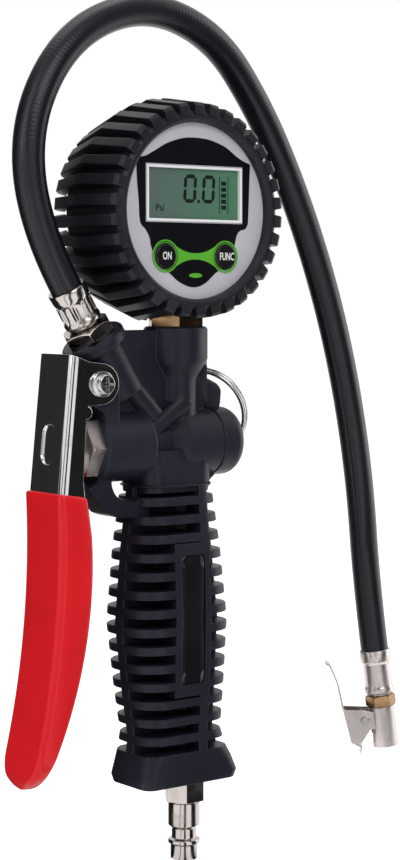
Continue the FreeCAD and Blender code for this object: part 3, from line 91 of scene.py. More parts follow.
class Body(Enum):
    """The moving bodies that pieces ride on."""

    GUN = "gun"
    LEVER = "squeeze_lever"
    RING = "ring"
    ON_BUTTON = "on_button"
    FUNC_BUTTON = "func_button"


# Shader node groups

class NodeKit:
    """Adds and links nodes in one tree."""

    def __init__(self, tree: bpy.types.NodeTree) -> None:
        """Keep the tree that nodes are added to."""
        self.tree = tree

    def add(self, kind: str, **settings: object) -> bpy.types.Node:
        """Add a node and set its properties.

        Args:
            kind: The node's type name.
            settings: Properties of the node, such as its operation.

        Returns:
            The new node.
        """
        node = self.tree.nodes.new(kind)
        for name, value in settings.items():
            setattr(node, name, value)
        return node

    def feed(self, node: bpy.types.Node, **inputs: object) -> None:
        """Set or link inputs of a node, named with underscores for spaces.

        Args:
            node: The node whose inputs are filled.
            inputs: A number, a colour or another node's output for each input.
        """
        for name, value in inputs.items():
            self.put(node.inputs[name.replace("_", " ")], value)

    def put(self, socket: Socket, value: object) -> None:
        """Fill a socket.

        Args:
            socket: The input that is filled.
            value: An output that is linked to it, or its own value.
        """
        if isinstance(value, Socket):
            self.tree.links.new(value, socket)
        else:
            socket.default_value = value

    def maths(self, operation: str, *terms: object) -> Socket:
        """Add a Math node.

        Args:
            operation: The node's operation.
            terms: Its numbers or outputs, in order.

        Returns:
            The node's result.
        """
        node = self.add("ShaderNodeMath", operation=operation)
        for socket, value in zip(node.inputs, terms):
            self.put(socket, value)
        return node.outputs[0]

    def remap(self, value: object, low: object, high: object, to_low: float, to_high: float) -> Socket:
        """Map a range of values onto another, smoothly at its ends.

        Args:
            value: The output that is mapped.
            low: Where the range starts.
            high: Where the range ends.
            to_low: What the start becomes.
            to_high: What the end becomes.

        Returns:
            The mapped value.
        """
        node = self.add("ShaderNodeMapRange", interpolation_type="SMOOTHSTEP")
        self.feed(node, Value=value, From_Min=low, From_Max=high, To_Min=to_low, To_Max=to_high)
        return node.outputs[0]

    def blend(self, factor: object, first: object, second: object) -> Socket:
        """Mix two colours.

        Args:
            factor: How much of the second colour shows.
            first: The first colour.
            second: The second colour.

        Returns:
            The mixed colour.
        """
        node = self.add("ShaderNodeMix", data_type="RGBA")
        for place, value in ((0, factor), (6, first), (7, second)):
            self.put(node.inputs[place], value)
        return node.outputs[2]

    def noise(self, where: object, scale: object, detail: float = 2.0) -> Socket:
        """Add a noise texture.

        Args:
            where: The output that gives the coordinates.
            scale: Waves per metre.
            detail: Octaves.

        Returns:
            The noise value from 0 to 1.
        """
        node = self.add("ShaderNodeTexNoise")
        self.feed(node, Vector=where, Scale=scale, Detail=detail)
        return node.outputs[0]


class Group:
    """A shader node group that gives a colour, a roughness and a height, built once.

    A ramp in it has the two ends of a range and what they become.
    """

    name: str = "Group"
    numbers: dict[str, float] = {}
    colours: tuple[str, str] = ("Tone", "Bloom")
    gives: dict[str, str] = {
        "Colour": "NodeSocketColor", "Roughness": "NodeSocketFloat", "Height": "NodeSocketFloat"}

    @classmethod
    def tree(cls) -> bpy.types.NodeTree:
        """Build the group's tree the first time, and find it afterwards.

        Returns:
            The tree.
        """
        found = bpy.data.node_groups.get(cls.name)
        if found:
            return found
        tree = bpy.data.node_groups.new(cls.name, "ShaderNodeTree")
        tree.interface.new_socket(name="Place", in_out="INPUT", socket_type="NodeSocketVector")
        for name, value in cls.numbers.items():
            socket = tree.interface.new_socket(name=name, in_out="INPUT", socket_type="NodeSocketFloat")
            socket.default_value = value
        for name in cls.colours:
            tree.interface.new_socket(name=name, in_out="INPUT", socket_type="NodeSocketColor")
        for name, kind in cls.gives.items():
            tree.interface.new_socket(name=name, in_out="OUTPUT", socket_type=kind)
        kit = NodeKit(tree)
        given = kit.add("NodeGroupInput").outputs
        share, gloss, height = cls.wire(kit, given)
        tone = kit.blend(share, *(given[name] for name in cls.colours))
        kit.feed(kit.add("NodeGroupOutput"), Colour=tone, Roughness=gloss, Height=height)
        return tree

    @classmethod
    def wire(cls, kit: NodeKit, given: Sockets) -> Wires:
        """Add the group's own nodes.

        Args:
            kit: The group's kit.
            given: The group's inputs.

        Returns:
            How much of the second tone shows, the roughness and the height.
        """
        raise NotImplementedError


class MouldedGrain(Group):
    """Fine spark-eroded grain, slight cloudiness of tone and of gloss."""

    name = "Moulded grain"
    numbers = {"Grain": 2600.0, "Gloss": 0.5, "Gloss spread": 0.1}
    cloud_scale = 38.0
    cloud_ramp = (0.42, 0.7, 0.0, 1.0)
    mottle_scale = 240.0
    mottle_ramp = (0.3, 0.7, 0.4, 1.0)

    @classmethod
    def wire(cls, kit: NodeKit, given: Sockets) -> Wires:
        """Take fine noise for the relief and broad noise for tone and gloss.

        Args:
            kit: The group's kit.
            given: The group's inputs.

        Returns:
            How much of the second tone shows, the roughness and the height.
        """
        fine = kit.noise(given["Place"], given["Grain"], detail=3.0)
        cloud = kit.noise(given["Place"], cls.cloud_scale, detail=3.0)
        mottle = kit.noise(given["Place"], cls.mottle_scale)
        share = kit.maths("MULTIPLY", kit.remap(cloud, *cls.cloud_ramp), kit.remap(mottle, *cls.mottle_ramp))
        wander = kit.maths("SUBTRACT", cloud, 0.5)
        return share, kit.maths("MULTIPLY_ADD", wander, given["Gloss spread"], given["Gloss"]), fine


class TurnedLines(Group):
    """Fine lines that a cutting or polishing tool leaves, with smudged gloss."""

    name = "Turned lines"
    numbers = {"Lines": 4200.0, "Gloss": 0.2, "Gloss spread": 0.15}
    stretch = (0.03, 0.03, 1.0)
    smudge_scale = 120.0
    smudge_ramp = (0.35, 0.75, 0.0, 1.0)
    stain_ramp = (0.5, 0.8, 0.0, 1.0)
    line_ramp = (0.3, 0.7, 0.4, 1.0)

    @classmethod
    def wire(cls, kit: NodeKit, given: Sockets) -> Wires:
        """Lay bands along Z, broken up by noise.

        Args:
            kit: The group's kit.
            given: The group's inputs.

        Returns:
            How much of the second tone shows, the roughness and the height.
        """
        stretched = kit.add("ShaderNodeVectorMath", operation="MULTIPLY")
        kit.put(stretched.inputs[0], given["Place"])
        kit.put(stretched.inputs[1], cls.stretch)
        lines = kit.noise(stretched.outputs[0], given["Lines"])
        smudge = kit.noise(given["Place"], cls.smudge_scale, detail=3.0)
        share = kit.maths("MULTIPLY", kit.remap(smudge, *cls.stain_ramp), kit.remap(lines, *cls.line_ramp))
        wander = kit.remap(smudge, *cls.smudge_ramp)
        return share, kit.maths("MULTIPLY_ADD", wander, given["Gloss spread"], given["Gloss"]), lines


class WrappedRubber(Group):
    """The cloth-wrapped skin of a cured rubber hose, from its own UV map."""

    name = "Wrapped rubber"
    numbers = {"Turns": 26.0, "Bands": 330.0, "Gloss": 0.17, "Gloss spread": 0.24}
    patch_scale = 9.0
    patch_ramp = (0.35, 0.65, 0.35, 1.0)

    @classmethod
    def wire(cls, kit: NodeKit, given: Sockets) -> Wires:
        """Cross two thread directions, with patches where the wrap pressed harder.

        Args:
            kit: The group's kit.
            given: The group's inputs.

        Returns:
            How much of the second tone shows, the roughness and the height.
        """
        split = kit.add("ShaderNodeSeparateXYZ")
        kit.put(split.inputs[0], given["Place"])
        around = kit.maths("MULTIPLY", split.outputs[0], given["Turns"])
        along = kit.maths("MULTIPLY", split.outputs[1], given["Bands"])
        threads = [kit.maths("SINE", kit.maths("MULTIPLY", kit.maths(way, around, along), math.tau))
                   for way in ("ADD", "SUBTRACT")]
        weave = kit.maths("MULTIPLY_ADD", kit.maths("MULTIPLY", *threads), 0.5, 0.5)
        patch = kit.noise(given["Place"], cls.patch_scale, detail=4.0)
        relief = kit.maths("MULTIPLY", weave, kit.remap(patch, *cls.patch_ramp))
        return relief, kit.maths("MULTIPLY_ADD", patch, given["Gloss spread"], given["Gloss"]), relief


class CrystalGlow(Group):
    """A reflective display that turns greener towards one side."""

    name = "Crystal glow"
    numbers = {"Start": -0.02, "Stop": 0.02, "Gloss": 0.16}
    cloud_scale = 60.0
    cloud_share = 0.3
    cloud_gloss = 0.06

    @classmethod
    def wire(cls, kit: NodeKit, given: Sockets) -> Wires:
        """Lay a ramp along X, slightly clouded.

        Args:
            kit: The group's kit.
            given: The group's inputs.

        Returns:
            How much of the second tone shows, the roughness and the height.
        """
        split = kit.add("ShaderNodeSeparateXYZ")
        kit.put(split.inputs[0], given["Place"])
        ramp = kit.remap(split.outputs[0], given["Start"], given["Stop"], 0.0, 1.0)
        cloud = kit.noise(given["Place"], cls.cloud_scale)
        share = kit.maths("MULTIPLY_ADD", kit.maths("SUBTRACT", cloud, 0.5), cls.cloud_share, ramp)
        return share, kit.maths("MULTIPLY_ADD", cloud, cls.cloud_gloss, given["Gloss"]), cloud


# Finishes

@dataclass(frozen=True)
class Finish:
    """One material: its group, tones and gloss."""

    name: str
    slot: str
    group: type[Group]
    tones: Tones
    numbers: dict[str, float] = field(default_factory=dict)
    bump: float = 0.0
    bump_strength: float = 0.6
    metallic: float = 0.0
    coat: float = 0.0
    coat_roughness: float = 0.08
    specular: float = 0.5
    uv: bool = False

    @classmethod
    def moulded(cls, name: str, slot: str, tones: Tones, grain: float, gloss: float, spread: float,
                **more: float) -> Finish:
        """Make the finish of a plastic, a rubber or a print.

        Args:
            name: The material's name.
            slot: The record's material slot.
            tones: The colour and the paler one of its clouds.
            grain: Grains per metre.
            gloss: Roughness.
            spread: How far the roughness wanders.
            more: Other fields of the finish.

        Returns:
            The finish.
        """
        numbers = {"Grain": grain, "Gloss": gloss, "Gloss spread": spread}
        return cls(name, slot, MouldedGrain, tones, numbers, **more)

    @classmethod
    def metal(cls, name: str, slot: str, tones: Tones, lines: float, gloss: float, spread: float,
              bump: float = 0.00001) -> Finish:
        """Make the finish of a turned, plated or polished metal.

        Args:
            name: The material's name.
            slot: The record's material slot.
            tones: The clean colour and the stained one.
            lines: Tool lines per metre.
            gloss: Roughness.
            spread: How far smudges roughen it.
            bump: Depth of the lines, in metres.

        Returns:
            The finish.
        """
        numbers = {"Lines": lines, "Gloss": gloss, "Gloss spread": spread}
        return cls(name, slot, TurnedLines, tones, numbers, bump=bump, metallic=1.0)

    def material(self) -> bpy.types.Material:
        """Build the material the first time, and find it afterwards.

        Returns:
            The material.
        """
        found = bpy.data.materials.get(self.name)
        if found:
            return found
        made = bpy.data.materials.new(self.name)
        made.use_nodes = True
        kit = NodeKit(made.node_tree)
        shader = made.node_tree.nodes["Principled BSDF"]
        grouped = kit.add("ShaderNodeGroup")
        grouped.node_tree = self.group.tree()
        kit.put(grouped.inputs["Place"], kit.add("ShaderNodeTexCoord").outputs["UV" if self.uv else "Object"])
        for name, value in self.numbers.items():
            grouped.inputs[name].default_value = value
        for name, tone in zip(self.group.colours, self.tones):
            grouped.inputs[name].default_value = (*tone, 1.0)
        kit.feed(shader, Base_Color=grouped.outputs["Colour"], Roughness=grouped.outputs["Roughness"])
        shader.inputs["Metallic"].default_value = self.metallic
        shader.inputs["Coat Weight"].default_value = self.coat
        shader.inputs["Coat Roughness"].default_value = self.coat_roughness
        shader.inputs["Specular IOR Level"].default_value = self.specular
        if self.bump:
            bump = kit.add("ShaderNodeBump")
            bump.inputs["Strength"].default_value = self.bump_strength
            bump.inputs["Distance"].default_value = self.bump
            kit.put(bump.inputs["Height"], grouped.outputs["Height"])
            kit.put(shader.inputs["Normal"], bump.outputs[0])
        return made


class Finishes:
    """All finishes of the inflator."""

    BODY = Finish.moulded("Charcoal plastic", "body", ((0.0102, 0.0110, 0.0200), (0.0165, 0.0175, 0.0295)),
                          3200.0, 0.40, 0.14, bump=0.00004, specular=0.22)
    CAP = Finish.moulded("Cap plastic", "cap", ((0.0115, 0.0124, 0.0215), (0.0175, 0.0187, 0.0310)),
                         3600.0, 0.36, 0.12, bump=0.00003, specular=0.24)
    CASE = Finish.moulded("Gauge shell plastic", "case", ((0.0120, 0.0120, 0.0140), (0.0180, 0.0180, 0.0210)),
                          2400.0, 0.4, 0.1, bump=0.00003, specular=0.4)
    BOOT = Finish.moulded("Boot rubber", "boot", ((0.0085, 0.0088, 0.0130), (0.0190, 0.0195, 0.0260)),
                          2100.0, 0.42, 0.2, bump=0.00005, specular=0.32)
    SEAL = Finish.moulded("Seal rubber", "seal", ((0.02, 0.02, 0.02), (0.035, 0.035, 0.035)),
                          1800.0, 0.55, 0.1, bump=0.00004)
    LABEL = Finish.moulded("Label gloss", "label", ((0.008, 0.008, 0.010), (0.014, 0.014, 0.017)),
                           500.0, 0.14, 0.08, coat=0.3)
    BUTTON = Finish.moulded("Button rubber", "button", ((0.006, 0.006, 0.008), (0.010, 0.010, 0.013)),
                            900.0, 0.25, 0.1, specular=0.35)
    SLEEVE = Finish.moulded("Dipped vinyl", "sleeve", ((0.76, 0.0060, 0.0125), (0.66, 0.0045, 0.0100)),
                            90.0, 0.30, 0.10, bump=0.00003, coat=0.08, coat_roughness=0.2, specular=0.28)
    CHROME = Finish.metal("Mirror chrome", "chrome", ((0.72, 0.71, 0.71), (0.55, 0.54, 0.54)),
                          900.0, 0.05, 0.08, bump=0.0)
    NICKEL = Finish.metal("Bright nickel", "nickel", ((0.50, 0.462, 0.438), (0.34, 0.306, 0.286)),
                          5200.0, 0.13, 0.16)
    STEEL = Finish.metal("Zinc steel", "steel", ((0.55, 0.54, 0.53), (0.36, 0.35, 0.34)), 3600.0, 0.16, 0.16)
    BRASS = Finish.metal("Machined brass", "brass", ((0.33, 0.205, 0.112), (0.20, 0.118, 0.066)),
                         4800.0, 0.12, 0.14, bump=0.00002)
    DIAL = Finish.moulded("Dial print", "dial", ((0.53, 0.52, 0.57), (0.58, 0.57, 0.62)),
                          5000.0, 0.34, 0.08, specular=0.35)
    INK = Finish.moulded("Black print", "dial", ((0.004, 0.004, 0.006), (0.007, 0.007, 0.009)),
                         5000.0, 0.25, 0.08, specular=0.3)
    GREEN = Finish.moulded("Green print", "dial", ((0.10, 0.44, 0.03), (0.14, 0.52, 0.045)),
                           4000.0, 0.3, 0.08, specular=0.35)
    LETTERS = Finish.moulded("Button print", "button", ((0.80, 0.80, 0.80), (0.86, 0.86, 0.86)),
                             4000.0, 0.4, 0.05)
    LCD_FRAME = Finish.moulded("White frame", "lcd_frame", ((0.86, 0.87, 0.88), (0.92, 0.92, 0.93)),
                               3000.0, 0.3, 0.06, bump=0.00002)
    LCD = Finish("Liquid crystal", "lcd", CrystalGlow, ((0.105, 0.150, 0.135), (0.085, 0.215, 0.130)),
                 {"Start": -0.026, "Stop": 0.019, "Gloss": 0.16}, specular=0.4)
    DIGITS = Finish.moulded("Display segments", "lcd", ((0.012, 0.018, 0.018), (0.018, 0.026, 0.024)),
                            4000.0, 0.2, 0.05, specular=0.3)
    BOARD = Finish.moulded("Board lacquer", "board", ((0.010, 0.09, 0.03), (0.02, 0.14, 0.05)),
                           1200.0, 0.35, 0.1)
    HOSE = Finish("Hose rubber", "hose", WrappedRubber, ((0.0050, 0.0050, 0.0092), (0.0105, 0.0108, 0.0168)),
                  bump=0.00010, specular=0.38, uv=True)
    SATIN = Finish.metal("Satin nickel", "nickel", ((0.60, 0.545, 0.53), (0.48, 0.43, 0.415)),
                         5200.0, 0.25, 0.10)

    @classmethod
    def for_slot(cls, slot: str) -> Finish:
        """Return the first finish that a record's slot names."""
        return next(f for f in vars(cls).values() if isinstance(f, Finish) and f.slot == slot)


# Modelling by operator

def shift(*place: float) -> Matrix:
    """Return a move by X, Y and Z."""
    return Matrix.Translation(Vector(place))


def spin(degrees: float, axis: str | Vector) -> Matrix:
    """Return a turn about an axis through the origin."""
    return Matrix.Rotation(math.radians(degrees), 4, axis)


def upright(x: float, y: float, z: float) -> Matrix:
    """Return the placement that stands a flat piece up at a point, facing -Y."""
    return shift(x, y, z) @ spin(90.0, "X")


def node_box(node: str) -> tuple[Vector, Vector]:
    """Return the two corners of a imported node's box, in millimetres."""
    low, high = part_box(node)
    return Vector(low) / MM, Vector(high) / MM


def rectangle(left: float, foot: float, right: float, top: float) -> Outline:
    """Return the corners of an upright rectangle."""
    return [(left, foot), (right, foot), (right, top), (left, top)]


class Bench:
    """Operators on one object at a time, as at a modelling bench."""

    @staticmethod
    def clear() -> None:
        """Leave edit mode and deselect all."""
        if bpy.context.object and bpy.context.object.mode != "OBJECT":
            bpy.ops.object.mode_set(mode="OBJECT")
        bpy.ops.object.select_all(action="DESELECT")

    @classmethod
    def hold(cls, thing: Thing) -> None:
        """Select one object alone and make it active.

        Args:
            thing: The object.
        """
        cls.clear()
        thing.select_set(True)
        bpy.context.view_layer.objects.active = thing

    @staticmethod
    def lay_out(name: str, data: bpy.types.ID) -> Thing:
        """Put a new object into the scene.

        Args:
            name: The object's name.
            data: Its mesh, curve, camera or light.

        Returns:
            The object.
        """
        made = bpy.data.objects.new(name, data)
        bpy.context.scene.collection.objects.link(made)
        return made

    @classmethod
    def start(cls, name: str, shape: str, **settings: object) -> Thing:
        """Add a primitive.

        Args:
            name: The piece's name.
            shape: The primitive's operator, such as cylinder.
            settings: The operator's own settings.

        Returns:
            The new object, active and selected.
        """
        cls.clear()
        getattr(bpy.ops.mesh, "primitive_%s_add" % shape)(**settings)
        made = bpy.context.object
        made.name = made.data.name = name
        return made

    @classmethod
    def edit(cls, thing: Thing, chosen: Callable[[bpy.types.MeshPolygon], bool]) -> None:
        """Enter edit mode with the faces selected that a test picks.

        Args:
            thing: The object to edit.
            chosen: A test on each face's place or normal.
        """
        cls.hold(thing)
        bpy.ops.object.mode_set(mode="EDIT")
        bpy.ops.mesh.select_mode(type="FACE")
        bpy.ops.mesh.select_all(action="DESELECT")
        bpy.ops.object.mode_set(mode="OBJECT")
        for face in thing.data.polygons:
            face.select = chosen(face)
        bpy.ops.object.mode_set(mode="EDIT")

    @staticmethod
    def done() -> None:
        """Leave edit mode."""
        bpy.ops.object.mode_set(mode="OBJECT")

    @classmethod
    def modify(cls, thing: Thing, kind: str, **settings: object) -> None:
        """Add a modifier and apply it.

        Args:
            thing: The object.
            kind: The modifier's type.
            settings: The modifier's settings.
        """
        cls.hold(thing)
        modifier = thing.modifiers.new(kind.title(), kind)
        for name, value in settings.items():
            setattr(modifier, name, value)
        bpy.ops.object.modifier_apply(modifier=modifier.name)

    @classmethod
    def round_edges(cls, thing: Thing, width: float, angle: float, segments: int = 2) -> None:
        """Bevel the edges that are sharper than an angle in degrees."""
        cls.modify(thing, "BEVEL", width=width, segments=segments, limit_method="ANGLE",
                   angle_limit=math.radians(angle))

    @classmethod
    def carve(cls, thing: Thing, tool: Thing, operation: str) -> None:
        """Cut one piece with another and clear the tool away."""
        cls.modify(thing, "BOOLEAN", object=tool, operation=operation, solver="EXACT")
        bpy.data.objects.remove(tool)

    @classmethod
    def settle(cls, thing: Thing, place: Matrix = Matrix.Identity(4)) -> Thing:
        """Put the object's place into its mesh.

        Args:
            thing: The object.
            place: A placement to take on first.

        Returns:
            The same object, at the origin.
        """
        cls.hold(thing)
        thing.matrix_world = place @ thing.matrix_world
        bpy.ops.object.transform_apply(location=True, rotation=True, scale=True)
        return thing

    @classmethod
    def install(cls, thing: Thing, place: Matrix = Matrix.Identity(4)) -> Thing:
        """Bring a piece from the bench, where it is in millimetres, to its place in the scene."""
        return cls.settle(thing, Matrix.Scale(MM, 4) @ place)

    @classmethod
    def copy(cls, thing: Thing, name: str, place: Matrix = Matrix.Identity(4)) -> Thing:
        """Copy a settled piece, with a mesh of its own.

        Args:
            thing: The piece.
            name: The copy's name.
            place: Where the copy goes, from the first piece's place.

        Returns:
            The copy.
        """
        cls.hold(thing)
        bpy.ops.object.duplicate(linked=False)
        made = bpy.context.object
        made.name = made.data.name = name
        return cls.settle(made, place)

    @classmethod
    def outward(cls, thing: Thing, merge: float = SCENE_DOUBLES) -> None:
        """Merge doubles and turn all faces outwards.

        Args:
            thing: The object.
            merge: How near doubles lie.
        """
        cls.edit(thing, lambda face: True)
        bpy.ops.mesh.remove_doubles(threshold=merge)
        bpy.ops.mesh.normals_make_consistent(inside=False)
        cls.done()

    @classmethod
    def join(cls, things: Sequence[Thing], name: str) -> Thing:
        """Join two or more pieces into the first of them.

        Args:
            things: The pieces.
            name: The joined piece's name.

        Returns:
            The joined piece.
        """
        cls.hold(things[0])
        for thing in things:
            thing.select_set(True)
        bpy.ops.object.join()
        things[0].name = things[0].data.name = name
        return things[0]

    @classmethod
    def flat(cls, name: str, outlines: Iterable[Outline], curved: Iterable[Outline] = (),
             corners: Iterable[int] = ()) -> Thing:
        """Make a flat filled mesh from closed outlines in its own XY plane.

        Args:
            name: The piece's name.
            outlines: Corners of each straight-sided outline, holes included.
            curved: Corners of each outline that curves through them.
            corners: Which points of the curved outlines are sharp.

        Returns:
            The flat mesh.
        """
        curve = bpy.data.curves.new(name, "CURVE")
        curve.dimensions = "2D"
        curve.fill_mode = "BOTH"
        curve.resolution_u = 8
        for outline in outlines:
            spline = curve.splines.new("POLY")
            spline.points.add(len(outline) - 1)
            for point, (x, y) in zip(spline.points, outline):
                point.co = (x, y, 0.0, 1.0)
            spline.use_cyclic_u = True
        for outline in curved:
            spline = curve.splines.new("BEZIER")
            spline.bezier_points.add(len(outline) - 1)
            for i, (point, (x, y)) in enumerate(zip(spline.bezier_points, outline)):
                point.co = (x, y, 0.0)
                point.handle_left_type = point.handle_right_type = "VECTOR" if i in corners else "AUTO"
            spline.use_cyclic_u = True
        return cls.to_mesh(cls.lay_out(name, curve))

    @classmethod
    def slab(cls, name: str, outlines: Iterable[Outline], thickness: float) -> Thing:
        """Make a flat piece and thicken it towards its own +Z.

        Args:
            name: The piece's name.
            outlines: Its outline and its holes.
            thickness: How thick it gets.

        Returns:
            The slab.
        """
        slab = cls.flat(name, outlines)
        cls.modify(slab, "SOLIDIFY", thickness=thickness, offset=1.0)
        cls.outward(slab, BENCH_DOUBLES)
        return slab

    @classmethod
    def turned(cls, name: str, outline: Outline, steps: int) -> Thing:
        """Revolve a closed outline of radii and heights about Z.

        Args:
            name: The piece's name.
            outline: Radius and height of each corner.
            steps: Faces round the axis.

        Returns:
            The turned piece.
        """
        mesh = bpy.data.meshes.new(name)
        count = len(outline)
        mesh.from_pydata([(radius, 0.0, height) for radius, height in outline],
                         [(i, (i + 1) % count) for i in range(count)], [])
        made = cls.lay_out(name, mesh)
        cls.modify(made, "SCREW", axis="Z", steps=steps, render_steps=steps, use_merge_vertices=True,
                   use_smooth_shade=False)
        cls.outward(made, BENCH_DOUBLES)
        return made

    @classmethod
    def skin(cls, name: str, loops: Sequence[Sequence[Point]]) -> Thing:
        """Stretch a skin over loops that have as many corners each, and close its ends.

        Args:
            name: The piece's name.
            loops: Corners of each loop, in the same order.

        Returns:
            The closed piece, the two ends its last faces.
        """
        count, last = len(loops[0]), len(loops) - 1
        faces = [[i * count + k, i * count + (k + 1) % count, (i + 1) * count + (k + 1) % count,
                  (i + 1) * count + k] for i in range(last) for k in range(count)]
        faces += [list(range(count))[::-1], list(range(last * count, (last + 1) * count))]
        mesh = bpy.data.meshes.new(name)
        mesh.from_pydata([corner for loop in loops for corner in loop], [], faces)
        return cls.lay_out(name, mesh)

    @classmethod
    def to_mesh(cls, thing: Thing) -> Thing:
        """Turn an object into a mesh.

        Args:
            thing: A curve or a text.

        Returns:
            The mesh's object.
        """
        cls.hold(thing)
        bpy.ops.object.convert(target="MESH")
        return bpy.context.object

    @classmethod
    def lettering(cls, name: str, words: str, height: float, bold: float) -> Thing:
        """Make flat letters, centred on their own origin.

        Args:
            name: The piece's name.
            words: What is written.
            height: The size of the letters.
            bold: How far each stroke is widened.

        Returns:
            The flat mesh.
        """
        cls.clear()
        bpy.ops.object.text_add()
        text = bpy.context.object
        text.name = name
        text.data.body = words
        text.data.size = height
        text.data.offset = bold
        text.data.align_x = text.data.align_y = "CENTER"
        text.data.resolution_u = 3
        return cls.to_mesh(text)

    @classmethod
    def dress(cls, thing: Thing, body: Body, finish: Finish, angle: float = 35.0) -> Thing:
        """Smooth a finished piece, give it its material and its body.

        Args:
            thing: The piece.
            body: What it rides on.
            finish: Its material.
            angle: Edges sharper than this stay sharp, in degrees.

        Returns:
            The same piece.
        """
        cls.hold(thing)
        bpy.ops.object.shade_smooth_by_angle(angle=math.radians(angle))
        thing.data.materials.clear()
        thing.data.materials.append(finish.material())
        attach(thing, body.value)
        LOG.info("%s: %d faces on %s, %s", thing.name, len(thing.data.polygons), body.value, finish.name)
        return thing


# Sub-assemblies

@dataclass(frozen=True)
class Strip:
    """A bright strip that mirrors see, from the cosine at its edge to that of its full light."""

    aim: Point
    edge: float
    full: float


@dataclass(frozen=True)
class SoftBox:
    """A rectangular lamp, in metres and watts."""

    name: str
    place: Point
    size: Spot
    watts: float


